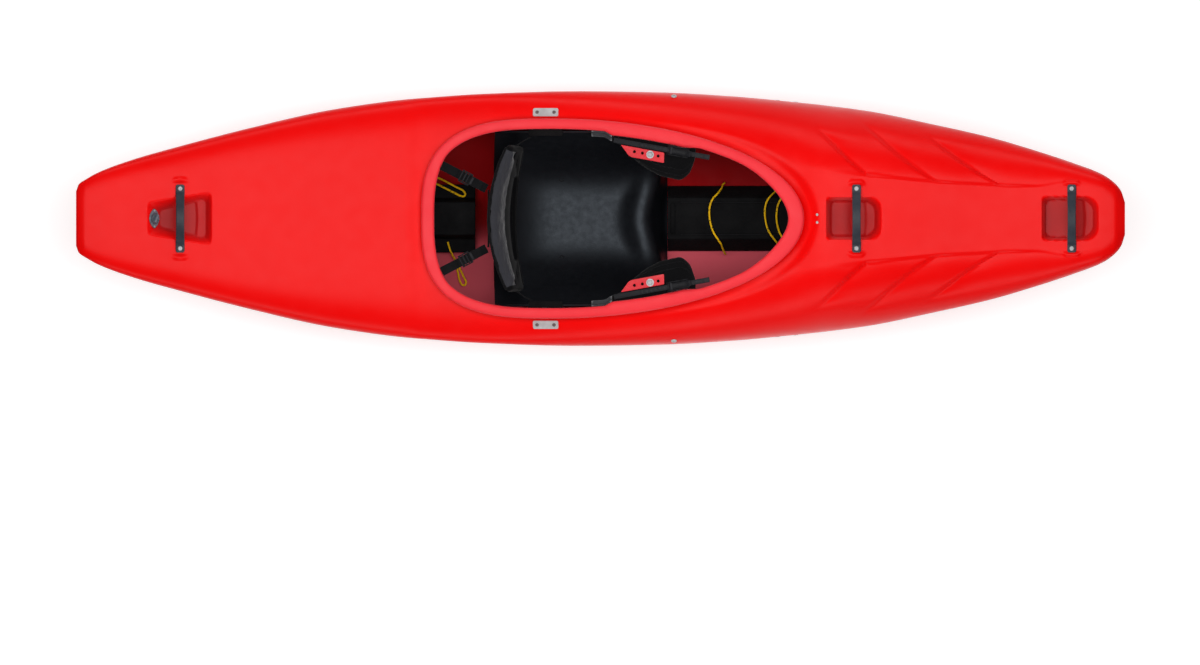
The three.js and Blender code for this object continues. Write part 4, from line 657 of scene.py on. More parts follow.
CORD_DIAMETER = 0.005
CORD_ROUTES = {
    "front_cord_aft": ((320, 92, 22), (316, 88, 34), (310, 76, 55), (301, 64, 73), (290, 52, 80),
                       (283, 38, 80), (280, 20, 79), (281, 0, 79), (285, -20, 79), (292, -38, 80),
                       (301, -52, 80), (309, -64, 72), (314, -76, 55), (319, -88, 34), (322, -92, 22)),
    "front_cord_middle": ((466, 92, 30), (463, 88, 38), (456, 76, 56), (444, 64, 73), (433, 52, 80),
                          (426, 38, 80), (423, 20, 79), (424, 0, 79), (428, -20, 79), (436, -38, 80),
                          (446, -52, 80), (455, -64, 72), (460, -76, 55), (465, -88, 38),
                          (467, -92, 30)),
    "front_cord_fore": ((496, 92, 34), (494, 88, 42), (488, 76, 58), (478, 64, 74), (466, 52, 80),
                        (458, 38, 80), (454, 20, 79), (453, 0, 79), (456, -20, 79), (462, -38, 80),
                        (470, -52, 80), (479, -64, 73), (486, -76, 57), (492, -88, 42),
                        (494, -92, 34)),
    "rear_cord_left": ((-452, 104, 62), (-438, 98, 67), (-420, 88, 80), (-398, 77, 82),
                       (-378, 67, 81), (-362, 59, 80), (-352, 57, 77), (-348, 63, 75),
                       (-354, 72, 75), (-372, 81, 76), (-392, 92, 74), (-412, 102, 63),
                       (-430, 108, 60), (-445, 112, 61)),
    "rear_cord_right": ((-393, -60, 75), (-390, -72, 75), (-386, -84, 75), (-380, -96, 69),
                        (-373, -108, 57), (-365, -122, 49), (-357, -140, 49), (-350, -154, 50),
                        (-346, -165, 52), (-350, -172, 53), (-357, -170, 53), (-363, -158, 51),
                        (-366, -144, 50), (-369, -130, 50), (-373, -118, 52)),
}


def knot(name, place, along):
    """A small stopper knot: a short tube wound in a tight coil."""
    turns = []
    for k in range(40):
        t = k / 39
        angle = t * 4 * math.pi
        turns.append((0.0034 * math.cos(angle), 0.0034 * math.sin(angle), (t - 0.5) * 0.007))
    points, faces, uvs = tube_mesh(turns, 0.0021, 10)
    return piece(name, placed(points, place, (along[1], -along[0], 0.01), along), faces, CORD,
                 slot="yellow_cord", uvs=uvs)


def add_cords():
    for name, route in CORD_ROUTES.items():
        path = catmull(np.array(route) * MM, 0.003)
        points, faces, uvs = tube_mesh(path, CORD_DIAMETER / 2, 12,
                                       bump=lambda s, a: 0.05 * np.sin(6 * a + s * 900))
        obj = piece(name + "_rope", points, faces, CORD, replaces=name, slot="yellow_cord", uvs=uvs)
        if name.startswith("rear"):
            ends = [knot(name + "_knot", path[-1], path[-1] - path[-2])]


add_cords()


# Hull and rim
def hull_stations():
    dense = np.linspace(-LENGTH / 2, LENGTH / 2, 27001)
    step = np.full_like(dense, 0.006)
    for pocket in POCKETS.values():
        step[np.abs(dense - pocket[0]) < pocket[1] / 2 + 0.012] = 0.003
    step = np.minimum(step, 0.0006 + (LENGTH / 2 - np.abs(dense)) * 0.12)
    count = np.concatenate([[0], np.cumsum((dense[1] - dense[0]) / step[1:])])
    return np.interp(np.linspace(0, count[-1], int(count[-1]) + 1), count, dense)


def resample(y, z, count):
    lengths = run_lengths(np.column_stack([y, z]))
    places = np.linspace(0, lengths[-1], count + 1)
    return np.interp(places, lengths, y), np.interp(places, lengths, z)


def half_ring(x, floor_steps=30, side_steps=46, middle_steps=34):
    """From the keel's middle round the port side to the deck's middle, and where the deck starts."""
    half, keel, sheer, deck, floor_flat, deck_flat, floor_power, deck_power = section(x)
    angle = np.linspace(0, math.pi / 2, 160)
    y = floor_flat + (half - floor_flat) * np.sin(angle) ** (2 / floor_power)
    z = sheer - (sheer - keel) * np.cos(angle) ** (2 / floor_power)
    y, z = resample(np.concatenate([[0], y]), np.concatenate([[keel], z]), floor_steps)
    inner = min(0.110, 0.6 * half)
    start = max(inner, deck_flat)
    share = (start - deck_flat) / (half - deck_flat)
    top = math.pi / 2 if share <= 0 else math.acos(share ** (deck_power / 2))
    angle = np.linspace(0, top, 160)
    upper_y = deck_flat + (half - deck_flat) * np.cos(angle) ** (2 / deck_power)
    upper_z = sheer + (deck - sheer) * np.sin(angle) ** (2 / deck_power)
    upper_y, upper_z = resample(np.append(upper_y, inner), np.append(upper_z, deck_height(x, inner)),
                                side_steps)
    middle = np.linspace(inner, 0, middle_steps + 1)[1:]
    ring_y = np.concatenate([y, upper_y[1:], middle])
    ring_z = np.concatenate([z, upper_z[1:], deck_height(x, middle)])
    return ring_y, ring_z, floor_steps + 1


def pocket_depth(x, y, place):
    """How deep the recess lies at places of the deck, its edges and its floor's step rounded."""
    pocket = POCKETS[place]
    near = np.abs(x - pocket[0]) < pocket[1] / 2 + 0.02
    near &= np.abs(y) < max(pocket[2:4]) + 0.02
    depth = np.zeros_like(x)
    points = np.column_stack([x[near], y[near]])
    top = -signed_distance(points, pocket_outline(pocket, 0))[0]
    floor = signed_distance(points, pocket_outline(pocket, 1))[0]
    share = np.clip(top, 0, None) / np.maximum(np.clip(top, 0, None) + np.clip(floor, 0, None), 1e-9)
    soft = 0.08
    eased = np.where(share < soft, share ** 2 / (2 * soft),
                     np.where(share > 1 - soft, 1 - soft - (1 - share) ** 2 / (2 * soft), share - soft / 2))
    eased = eased / (1 - soft)
    arc = pocket[0] + pocket[1] / 2 - pocket[6] - 0.020 - 1.6 * y[near] ** 2
    step = smooth_step(points[:, 0], arc - 0.003, arc + 0.003)
    depth[near] = eased * (pocket[4] - 0.005 * step * smooth_step(share, 0.8, 1.0))
    return depth


def brow_height(x, y):
    rise = np.zeros_like(x)
    for name, place in HANDLES.items():
        edge, half_length, fade = BROWS[name]
        a = np.abs(x - place)
        b = np.abs(y)
        shape = (1 - smooth_step(a + np.maximum(0, b - edge + 0.02) * 0.8, half_length,
                                 half_length + fade))
        rise = np.maximum(rise, 0.0040 * shape * smooth_step(b, edge - 0.014, edge - 0.003)
                          * (1 - smooth_step(b, edge - 0.0005, edge + 0.003)))
    return rise


def rim_moat(x, y):
    """The deck dips round the fore half of the rim."""
    dip = np.zeros_like(x)
    near = (np.abs(x - 0.2) < 0.42) & (np.abs(y) < RIM_HALF + 0.06)
    points = np.column_stack([x[near], y[near]])
    outline = rim_inset(lambda band: band * 0, 180)
    distance = signed_distance(points, outline)[0]
    reach = 0.018 + 0.024 * smooth_step(points[:, 0], 0.1, 0.5)
    fore = smooth_step(points[:, 0], 0.0, 0.42)
    dip[near] = 0.0065 * fore * (1 - smooth_step(distance, reach * 0.35, reach))
    return dip


def mark_painted_shading(obj):
    """Masks for painted shading: painted shade in the handles' recesses, and painted light inside on the
    starboard side.
    """
    places = point_places(obj)
    share = sum(pocket_depth(places[:, 0], places[:, 1], place) / POCKETS[place][4] for place in POCKETS)
    recess = np.clip(share, 0, 1) * (places[:, 2] > section(places[:, 0])[2])
    # The first mask paints shade into the handles' recesses; the second paints light onto the starboard side
    # of the inside.
    for name, values in (("recess", recess), ("painted_light_starboard", smooth_step(-places[:, 1], 0.0, 0.10))):
        layer = obj.data.attributes.new(name, "FLOAT", "POINT")
        layer.data.foreach_set("value", values.astype(np.float32))


def hull_grid():
    """Points of the hull, stations by places round it, with its recesses, scoops and brows."""
    xs = hull_stations()
    rings = [half_ring(x) for x in xs]
    split = rings[0][2]
    y = np.array([ring[0] for ring in rings])
    z = np.array([ring[1] for ring in rings])
    y = np.concatenate([y, -y[:, -2:0:-1]], axis=1)
    z = np.concatenate([z, z[:, -2:0:-1]], axis=1)
    x = np.repeat(xs[:, None], y.shape[1], axis=1)
    columns = y.shape[1]
    deck = np.zeros(columns, bool)
    deck[split:columns - split + 1] = True
    dx, dy = x[:, deck].ravel(), y[:, deck].ravel()
    drop = feather_drop(dx, dy).reshape(len(xs), -1)
    across = np.gradient(y[:, deck], axis=1)
    down = np.gradient(z[:, deck], axis=1)
    turn = np.maximum(np.hypot(across, down), 1e-9)
    y[:, deck] += drop * down / turn * 0.8
    change = -drop.ravel() + brow_height(dx, dy) - rim_moat(dx, dy)
    for place in POCKETS:
        change -= pocket_depth(dx, dy, place)
    z[:, deck] += change.reshape(len(xs), -1)
    return np.stack([x, y, z], axis=-1)


def cut_opening(points, faces):
    """The faces outside the cockpit's opening, its edge points moved onto the rim's line."""
    cut = rim_inset(lambda band: band - RIM_RISER - GAP, 360)
    centres = points[faces].mean(axis=1)
    inside = np.zeros(len(faces), bool)
    near = (centres[:, 2] > section(centres[:, 0])[2]) & (np.abs(centres[:, 0] - 0.03) < 0.55)
    inside[near] = signed_distance(centres[near][:, :2], cut)[0] < 0
    faces = faces[~inside]
    used, counts = np.unique(np.sort(np.stack([faces, np.roll(faces, -1, axis=1)], axis=-1)
                                     .reshape(-1, 2), axis=1), axis=0, return_counts=True)
    edge = np.unique(used[counts == 1])
    rim_edge = edge[(np.abs(points[edge, 0] - 0.03) < 0.55)]
    points[rim_edge, :2] = signed_distance(points[rim_edge, :2], cut)[1]
    points[rim_edge, 2] = deck_height(points[rim_edge, 0], points[rim_edge, 1])
    return [tuple(f) for f in faces]


def add_hull():
    grid = hull_grid()
    stations, columns = grid.shape[:2]
    points = grid.reshape(-1, 3)
    faces = cut_opening(points, grid_faces(stations, columns, False, True))
    faces.append(tuple(range(columns)))
    faces.append(tuple(reversed(range(len(points) - columns, len(points)))))
    obj = piece("hull", points, faces, HULL, replaces="hull_shell", slot="hull")
    mark_painted_shading(obj)
    # The inner faces take the second material, the hull plastic painted darker as shade and lighter on
    # starboard as light.
    obj.data.materials.append(PAINTED_SHADE_INSIDE)
    bm = bmesh.new()
    bm.from_mesh(obj.data)
    bmesh.ops.delete(bm, geom=[v for v in bm.verts if not v.link_faces], context="VERTS")
    bmesh.ops.recalc_face_normals(bm, faces=bm.faces)
    bm.to_mesh(obj.data)
    bm.free()
    modify(obj, "SOLIDIFY", thickness=WALL, offset=-1, material_offset=1)
    bake(obj)
    smooth(obj, 50)


def fillet(corners, steps=5):
    """A closed outline with rounded corners from (x, y, radius) rows."""
    out = []
    count = len(corners)
    for i, (x, y, radius) in enumerate(corners):
        here = np.array((x, y))
        before = np.array(corners[i - 1][:2]) - here
        after = np.array(corners[(i + 1) % count][:2]) - here
        reach = min(radius, 0.49 * np.linalg.norm(before), 0.49 * np.linalg.norm(after))
        a, b = here + unit(before) * reach, here + unit(after) * reach
        for k in range(steps + 1):
            t = k / steps
            out.append((1 - t) ** 2 * a + 2 * t * (1 - t) * here + t * t * b)
    return np.array(out)


def add_rim():
    points, out, band = rim_line(420)
    rings = []
    for (px, py), (ox, oy), width in zip(points, out, band):
        profile = fillet([(0, 0, 0.010), (width * 0.5, 0.0022, 0.02), (width, 0, 0.008),
                          (width, -RIM_SKIRT, 0.0015), (width - RIM_RISER, -RIM_SKIRT, 0.0015),
                          (width - RIM_RISER, -RIM_LIP, 0.003), (0, -RIM_LIP, 0.006)])
        top = float(rim_top(px))
        rings.append([(px - ox * inward, py - oy * inward, top + height) for inward, height in profile])
    obj = piece("rim", *skin(rings, closed=True), RIM, replaces="cockpit_rim", slot="rim", sharp=60)
    finish(obj)


add_hull()
add_rim()


# Bolts, handles and drain
def bolt_mesh(shank, head, height, socket, length=0.008, washer=None):
    """A pan head with a six-sided socket on Z, its seat at height 0."""
    rows = [(shank, -length), (shank, 0)]
    base = 0.0
    if washer:
        base = washer[1]
        rows += [(washer[0] * 0.96, 0), (washer[0], base * 0.3), (washer[0], base * 0.75),
                 (washer[0] * 0.95, base)]
    rows += [(head * 0.97, base), (head, base + height * 0.15), (head * 0.985, base + height * 0.4),
             (head * 0.9, base + height * 0.75), (head * 0.74, base + height * 0.95),
             (head * 0.6, base + height), (socket * 1.1, base + height)]
    rows += [(socket, base + height * 0.94), (socket * 0.97, base + height * 0.35)]
    return lathe_mesh(rows, 36, (len(rows) - 1, len(rows) - 2))


def add_bolt(name, node, place, normal, sizes, material=None, slot="steel", **more):
    points, faces = bolt_mesh(*sizes, **more)
    side = (0, 1, 0) if abs(normal[1]) < 0.8 else (1, 0, 0)
    return piece(name, placed(points, place, side, normal), faces, material or STEEL,
                 replaces=node, slot=slot, sharp=38)


HANDLE_HALF, HANDLE_WIDTH, HANDLE_THICK, HANDLE_RISE = 0.0875, 0.023, 0.005, 0.021


def add_handles():
    for name, x in HANDLES.items():
        ys = HANDLE_HALF * np.sin(np.linspace(-0.5, 0.5, 61) * math.pi)
        share = np.clip(1 - np.abs(ys) / (HANDLE_HALF - 0.024), 0, None)
        deck = float(section(x)[3])
        zs = deck + HANDLE_RISE * np.sin(share * math.pi / 2) ** 0.8 + GAP + HANDLE_THICK / 2
        kernel = np.ones(5) / 5
        zs[2:-2] = np.convolve(zs, kernel, "valid")
        path = np.column_stack([np.full_like(ys, x), ys, zs])
        waist = HANDLE_WIDTH * (0.93 + 0.07 * np.clip((np.abs(ys) - 0.02) / 0.05, 0, 1))
        points, faces, uvs = strap_mesh(path, waist, HANDLE_THICK, end_round=0.006, ribs=7)
        piece(f"handle_{name}", points, faces, HANDLE, replaces=f"grab_handle_{name}", slot="webbing",
              sharp=50, uvs=uvs)
        for side, word in SIDES:
            y = side * (HANDLE_HALF - 0.0105)
            z = max(float(deck_height(x, y)), deck) + HANDLE_THICK + 2 * GAP
            add_bolt(f"handle_screw_{name}_{word}", f"handle_bolt_{name}_{word}", (x, y, z), (0, 0, 1),
                     (0.003, 0.006, 0.0034, 0.0022))


def drain_frame():
    x, length, _, _, depth, aft_slope, *_ = POCKETS["stern"]
    top_x = x - length / 2
    floor_x = top_x + aft_slope
    top = np.array((top_x, 0, float(section(top_x)[3])))
    foot = np.array((floor_x, 0, float(section(floor_x)[3]) - depth))
    angle = math.atan2(top[2] - foot[2], floor_x - top_x)
    return (top + (foot - top) * 0.52, (math.cos(angle), 0, -math.sin(angle)),
            (math.sin(angle), 0, math.cos(angle)))


def add_drain():
    seat = drain_frame()
    half, width, bezel = 0.026, 0.033, 0.003
    side = [(width / 2 * (1 - s * s) + bezel / 2, s * half) for s in np.linspace(-0.97, 0.97, 25)]
    outline = side + [(-x, -y) for x, y in side]
    plate = slab(outline, GAP, bezel, 0.0009)
    ring = lathe_mesh([(0.0091, -0.015), (0.011, -0.015), (0.011, 0.0024), (0.0145, 0.0026),
                       (0.0150, 0.0036), (0.0145, 0.0042), (0.0136, 0.0036), (0.0135, 0.0026)], 48)
    points, faces = join([plate, ring])
    piece("drain_bezel", placed(points, *seat), faces, PLUG, replaces="drain_bushing",
          slot="plug", sharp=45)
    for side, word in SIDES:
        points, faces = bolt_mesh(0.0012, 0.0030, 0.0012, 0.0012, 0.003)
        points = points + (0, side * 0.0205, bezel)
        piece(f"drain_rivet_{word}", placed(points, *seat), faces, STEEL, slot="steel", sharp=40)
    seat_z = bezel + 2 * GAP
    head = lathe_mesh([(0.0086, seat_z - 0.012), (0.0086, seat_z), (0.0128, seat_z + 0.0002),
                       (0.013, seat_z + 0.001), (0.013, seat_z + 0.0036), (0.0122, seat_z + 0.005),
                       (0.0108, seat_z + 0.005), (0.0098, seat_z + 0.0040), (0.0094, seat_z + 0.0022),
                       (0.002, seat_z + 0.0018)], 48)
    points, faces = join([head, rounded_box((0.022, 0.0055, 0.0075), 0.0014, (0, 0, seat_z + 0.0060))])
    turn = Matrix.Rotation(math.pi / 3, 3, "Z")
    points = points @ np.array(turn).T
    piece("drain_stopper", placed(points, *seat), faces, PLUG, body="drain_plug",
          replaces="drain_plug", slot="plug", sharp=40)


add_handles()
add_drain()


# Seat, plates and brackets
SEAT_REAR, SEAT_FRONT, SEAT_HALF, SEAT_WALL = -0.272, 0.172, 0.221, 0.005
SEAT_BOWL, SEAT_AFT_RISE, SEAT_LIP = 0.034, 0.062, 0.034
TAB_X, TAB_Y = (-0.185, -0.098), (0.213, 0.283)
EYELET_X, EYELET_Y, PLATE_X, PLATE_Y, HIP_X = -0.100, 0.101, -0.141, 0.273, (-0.023, 0.029)


def seat_place(share, across):
    """The seat's upper surface: a bowl with a raised aft edge, a curved front lip and wings."""
    x = SEAT_REAR + (SEAT_FRONT - SEAT_REAR) * share
    y = across * SEAT_HALF
    floor = section(x)[1] + WALL + GAP + SEAT_WALL
    aft = SEAT_AFT_RISE * np.maximum(0, 1 - share / 0.36) ** 2
    crest = 0.84 + 0.09 * (1 - np.exp(-(across / 0.45) ** 2))
    lip = SEAT_LIP * np.exp(-((share - crest) / 0.095) ** 2) * (1 - across ** 2 / 2)
    base = floor + SEAT_BOWL + aft + lip
    wing = np.minimum(deck_height(x, SEAT_HALF, WALL), rim_top(x) - RIM_SKIRT) - GAP - 0.002
    dish = base + (wing - base) * np.abs(across) ** 3.7
    drop = smooth_step((share - crest - 0.055) / (0.945 - crest), 0, 1)
    drop = drop * np.maximum(0, 1 - np.abs(across) ** 8)
    return np.stack([x + 0 * across, y + 0 * share, dish + (floor - dish) * drop], axis=-1)


def thick_sheet(upper, lower):
    """Points and faces of a closed plate between two grids of the same size."""
    rows, columns = upper.shape[:2]
    half = rows * columns
    top = grid_faces(rows, columns)
    under = top[:, ::-1] + half
    index = np.arange(half).reshape(rows, columns)
    edge = np.concatenate([index[0, :-1], index[:-1, -1], index[-1, :0:-1], index[:0:-1, 0]])
    nxt = np.roll(edge, -1)
    walls = np.stack([edge, nxt, nxt + half, edge + half], axis=1)
    points = np.concatenate([upper.reshape(-1, 3), lower.reshape(-1, 3)])
    return points, [tuple(f) for f in np.concatenate([top, under, walls])]


def grid_normals(grid):
    return unit(np.cross(np.gradient(grid, axis=0), np.gradient(grid, axis=1)))


def add_seat():
    share = np.linspace(0, 1, 96)[:, None]
    across = np.sin(np.linspace(-0.5, 0.5, 101) * math.pi)[None, :]
    upper = seat_place(share, across)
    parts = [thick_sheet(upper, upper - grid_normals(upper) * SEAT_WALL)]
    for side, _ in SIDES:
        grid_x, grid_y = np.meshgrid(np.linspace(*TAB_X, 12), np.linspace(*TAB_Y, 12), indexing="ij")
        top = deck_height(grid_x, grid_y, WALL + GAP)
        sheet = np.stack([grid_x, side * grid_y, top - 0.0005], axis=-1)
        parts.append(thick_sheet(sheet, sheet - (0, 0, SEAT_WALL)))
    points, faces = join(parts)
    obj = piece("seat", points, faces, SEAT, replaces="seat_pan", slot="black_plastic")
    paint_from(obj, len(parts[0][1]), FOAM)
    finish(obj, 48)
    for side, word in SIDES:
        share = (EYELET_X - SEAT_REAR) / (SEAT_FRONT - SEAT_REAR)
        place = seat_place(np.array(share), np.array(side * EYELET_Y / SEAT_HALF))
        points, faces = lathe_mesh([(0.0062, -0.0010), (0.0060, 0.0006), (0.0052, 0.0012),
                                    (0.0042, 0.0009), (0.0036, -0.0006), (0.0034, -0.003)], 32)
        piece(f"seat_eyelet_{word}", points + place, faces, BLACK, slot="black_plastic", sharp=50)


def deck_frame(x, y):
    """A place on the deck, the direction along it and its normal."""
    step = WALL
    dx = (deck_height(x + step, y) - deck_height(x - step, y)) / (2 * step)
    dy = (deck_height(x, y + step) - deck_height(x, y - step)) / (2 * step)
    normal = unit((-float(dx), -float(dy), 1.0))
    return np.array((x, y, float(deck_height(x, y)))), np.cross((0, 1, 0), normal), normal


def add_seat_plates():
    for side, word in SIDES:
        seat = deck_frame(PLATE_X, side * PLATE_Y)
        outline = fillet([(0.033, -0.011, 0.005), (0.033, 0.011, 0.005), (-0.033, 0.011, 0.005),
                          (-0.033, -0.011, 0.005)])
        plate = slab(outline, 2 * GAP, 0.0031, 0.0007)
        parts = [plate]
        for end in (1, -1):
            points, faces = bolt_mesh(0.0025, 0.0045, 0.0022, 0.0016, 0.004)
            parts.append((points + (end * 0.022, 0, 0.0031), faces))
        points, faces = join(parts)
        obj = piece(f"seat_deck_plate_{word}", placed(points, *seat), faces, ZINC,
                    replaces=f"seat_plate_{word}", slot="steel", sharp=38)
        paint_from(obj, len(plate[1]), SCREW)


INSIDE_LINE = rim_inset(lambda band: band + GAP, 720)


def opening_half(x):
    """Half width of the clear space inside the rim at a place ahead of its widest point."""
    line = INSIDE_LINE[(INSIDE_LINE[:, 1] > 0) & (INSIDE_LINE[:, 0] > RIM_X)]
    order = np.argsort(line[:, 0])
    return np.interp(x, line[order, 0], line[order, 1])


def add_hip_brackets():
    for side, word in SIDES:
        rings = []
        for x in np.linspace(*HIP_X, 14):
            outer = float(opening_half(x)) - GAP
            top = float(rim_top(x)) - 0.005
            inner = outer - 0.015
            outline = fillet([(outer, top, 0.001), (outer, top - 0.024, 0.002),
                              (inner, top - 0.024, 0.0015), (inner, top - 0.0205, 0.0015),
                              (outer - 0.0035, top - 0.0205, 0.002), (outer - 0.0035, top, 0.001)], 3)
            rings.append([(x, side * y, z) for y, z in outline])
        obj = piece(f"hip_angle_{word}", *skin(rings), BRACKET, replaces=f"hip_bracket_{word}",
                    slot="black_plastic")
        finish(obj, 50)


add_seat()
add_seat_plates()
add_hip_brackets()


# Backband and its webbing
BAND_X, BAND_BEND, BAND_HALF, BAND_TOP, BAND_LOW = -0.281, 0.044, 0.186, 0.304, 0.138
BAND_LEAN, BAND_THICK = 0.33, 0.024
SEAM_HEIGHT = 0.69
SIDE_STRAP_Z, REAR_STRAP_Z, REAR_STRAP_END = 0.246, 0.262, (-0.288, 0.074)
RIM_TAB_X, BUCKLE_AT, TIE_RADIUS = -0.436, 0.068, 0.0024


def band_place(share, offset, z):
    """A place of the leaning band: share across, offset aft of its middle surface, height."""
    tangent = np.stack([2 * share * BAND_BEND, BAND_HALF + 0 * share])
    tangent = tangent / np.linalg.norm(tangent, axis=0)
    x = BAND_X + BAND_LEAN * (BAND_TOP - z) + BAND_BEND * share ** 2 - tangent[1] * offset
    return np.stack([x, BAND_HALF * share + tangent[0] * offset, z], axis=-1)


def band_edges(share):
    low = BAND_LOW + (0.204 - BAND_LOW) * share ** 2
    high = BAND_TOP + (0.290 - BAND_TOP) * share ** 2
    return low, high


def band_ring(share, count=64):
    """One section of the pad, and each point's shares of the height and of the thickness, fore below 0."""
    low, high = band_edges(share)
    end = math.sqrt(max(0.0, 1 - max(0.0, (abs(share) - 0.955) / 0.045) ** 2))
    middle, half_height = (low + high) / 2, (high - low) / 2 * (0.80 + 0.20 * end)
    half_thick = BAND_THICK / 2 * (0.5 + 0.5 * end) * 0.93
    angle = np.linspace(0, 2 * math.pi, count, endpoint=False) + math.pi / 4
    c, s = np.cos(angle), np.sin(angle)
    thick = -half_thick * np.sign(c) * np.abs(c) ** 0.32
    height = half_height * np.sign(s) * np.abs(s) ** 0.50
    front = thick < 0
    crown = 0.004 * (1 - share ** 4) * np.clip(1 - (height / half_height) ** 2, 0, 1)
    thick = np.where(front, thick - crown, thick)
    points = band_place(np.full(count, share), thick, middle + height)
    return points, (height / half_height + 1) / 2, thick / half_thick


def add_backband():
    shares = np.sin(np.linspace(-1, 1, 89) * 1.45) / math.sin(1.45)
    rings, heights, fores = zip(*[band_ring(share) for share in shares])
    height, fore = np.concatenate(heights), np.concatenate(fores)
    across = np.repeat(shares, len(rings[0]))
    obj = piece("backband_cushion", *skin(rings), TRIM, body="backband", replaces="backband_pad",
                slot="backband_fabric")
    finish(obj)
    seams = np.zeros(len(height), bool)
    for seam, reach in ((SEAM_HEIGHT, 0.025), (0.45, 0.02), (0.12, 0.02)):
        seams |= (np.abs(height - seam) < reach) & (fore < 0)
    seams |= (np.abs(across) > 0.97)
    seams |= fore > 0.8
    inflate(obj, np.flatnonzero(seams), 3.5, 0.005)
    move_points(obj, band_detail(across, height, fore))
    grey_faces(obj, across, height, fore)
    add_piping()
    add_band_shell()


def inflate(obj, pinned, pressure, cap):
    """Swells a closed mesh as stuffed cloth, held along its seams, by no more than a cap."""
    before = point_places(obj)
    group = obj.vertex_groups.new(name="seams")
    group.add([int(i) for i in pinned], 1.0, "REPLACE")
    cloth = obj.modifiers.new("Cloth", "CLOTH")
    settings = cloth.settings
    settings.vertex_group_mass = "seams"
    settings.use_pressure = True
    settings.uniform_pressure_force = pressure
    settings.effector_weights.gravity = 0
    settings.quality = 6
    settings.mass = 0.3
    settings.tension_stiffness = 12
    settings.shear_stiffness = 5
    settings.bending_stiffness = 0.3
    cloth.point_cache.frame_end = 20
    for step in range(1, 21):
        SCENE.frame_set(step)
    move = point_places(obj.evaluated_get(bpy.context.evaluated_depsgraph_get())) - before
    obj.modifiers.remove(cloth)
    SCENE.frame_set(1)
    size = np.linalg.norm(move, axis=1, keepdims=True)
    move_points(obj, move * np.minimum(1, cap / np.maximum(size, 1e-9)))


def band_detail(across, height, fore):
    """Wrinkles of the upper fabric and the long channel in the front, as moves of the points."""
    front = smooth_step(-fore, 0.2, 0.8)
    top = np.maximum(front, smooth_step(height, 0.9, 1.0)) * (fore < 0.86)
    wrinkled = top * smooth_step(height, SEAM_HEIGHT, 0.76) * (1 - smooth_step(np.abs(across), 0.90, 0.97))
    folds = np.array([noise.noise(Vector((a * 9.0, h * 3.2, f * 0.8)))
                      + 0.6 * noise.noise(Vector((a * 26.0 + h * 6.0, h * 5.0, 3.1)))
                      for a, h, f in zip(across, height, fore)])
    slot = front * smooth_step(height, 0.10, 0.17) * (1 - smooth_step(height, 0.38, 0.45))
    slot *= 1 - smooth_step(np.abs(across), 0.56, 0.62)
    seam = front * np.exp(-((height - SEAM_HEIGHT) / 0.02) ** 2) * (np.abs(across) < 0.93)
    depth = folds * 0.0030 * wrinkled - 0.010 * slot - 0.0020 * seam
    return depth[:, None] * unit((1.0, 0.0, BAND_LEAN))


def grey_faces(obj, across, height, fore):
    obj.data.materials.append(GREY)
    obj.data.materials.append(BLACK)
    for face in obj.data.polygons:
        ids = list(face.vertices)
        h, f, a = height[ids].mean(), fore[ids].mean(), np.abs(across[ids]).mean()
        if a < 0.94 and ((h > SEAM_HEIGHT and f < -0.2) or (h > 0.955 and f < 0.62)):
            face.material_index = 1
        elif a < 0.6 and 0.15 < h < 0.40 and f < -0.2:
            face.material_index = 2


def band_line(height_share, fore, shares, proud=0.0):
    """A line along the pad's surface at a share of its height, on its front or back."""
    path = []
    for share in shares:
        points, heights, sides = band_ring(share, 256)
        chosen = sides < 0 if fore < 0 else sides > 0
        nearest = np.argmin(np.abs(heights[chosen] - height_share))
        path.append(points[chosen][nearest])
    return np.array(path) + (proud, 0, proud * BAND_LEAN)


def add_piping():
    lines = {
        "aft": (band_line(0.985, 1, np.linspace(-0.965, 0.965, 70), 0.0), 0.0030),
        "seam": (band_line(SEAM_HEIGHT, -1, np.linspace(-0.94, 0.94, 70), 0.0004), 0.0016),
        "slot_top": (band_line(0.46, -1, np.linspace(-0.90, 0.90, 70), 0.0002), 0.0014),
        "foot": (band_line(0.06, -1, np.linspace(-0.94, 0.94, 70), 0.0), 0.0024),
    }
    for name, (path, radius) in lines.items():
        points, faces, uvs = tube_mesh(path, radius, 10)
        piece(f"backband_piping_{name}", points, faces, TRIM, body="backband", slot="webbing", uvs=uvs)


def add_band_shell():
    shares = np.linspace(-0.985, 0.985, 60)[:, None]
    rise = np.linspace(0, 1, 20)[None, :]
    low, high = band_edges(shares)
    low, high = low + 0.022, high - 0.022
    end = np.sqrt(np.clip(1 - np.clip((np.abs(shares) - 0.9) / 0.1, 0, 1) ** 2, 0.1, 1))
    middle = (low + high) / 2
    z = middle + (high - low) * (rise - 0.5) * end
    share = shares + 0 * rise
    start = BAND_THICK / 2 + GAP
    rib = 0.0012 * np.cos(rise * 6 * math.pi) ** 2
    inner = band_place(share, start + 0 * z, z)
    outer = band_place(share, start + 0.003 - rib * 0.6, z)
    points, faces = thick_sheet(inner, outer)
    obj = piece("backband_back", points, faces, BLACK, body="backband", replaces="backband_shell",
                slot="black_plastic")
    finish(obj, 45)


def add_side_straps():
    for side, word in SIDES:
        start = band_place(np.array(side * 1.0), np.array(0.0), np.array(SIDE_STRAP_Z))
        end = np.array((-0.178, side * 0.210, SIDE_STRAP_Z))
        direction = unit(end - start)
        start = start + direction * 0.004
        bow = np.array((-direction[1], direction[0], 0)) * side
        t = np.linspace(0, 1, 24)[:, None]
        path = start + (end - start) * t + bow * 0.0015 * np.sin(t * math.pi)
        flat = np.array((direction[1], -direction[0], 0))
        points, faces, uvs = strap_mesh(path, 0.024, 0.0028, up=flat)
        piece(f"side_webbing_{word}", points, faces, WEBBING, body="backband_harness",
              replaces=f"backband_side_strap_{word}", slot="webbing", uvs=uvs)


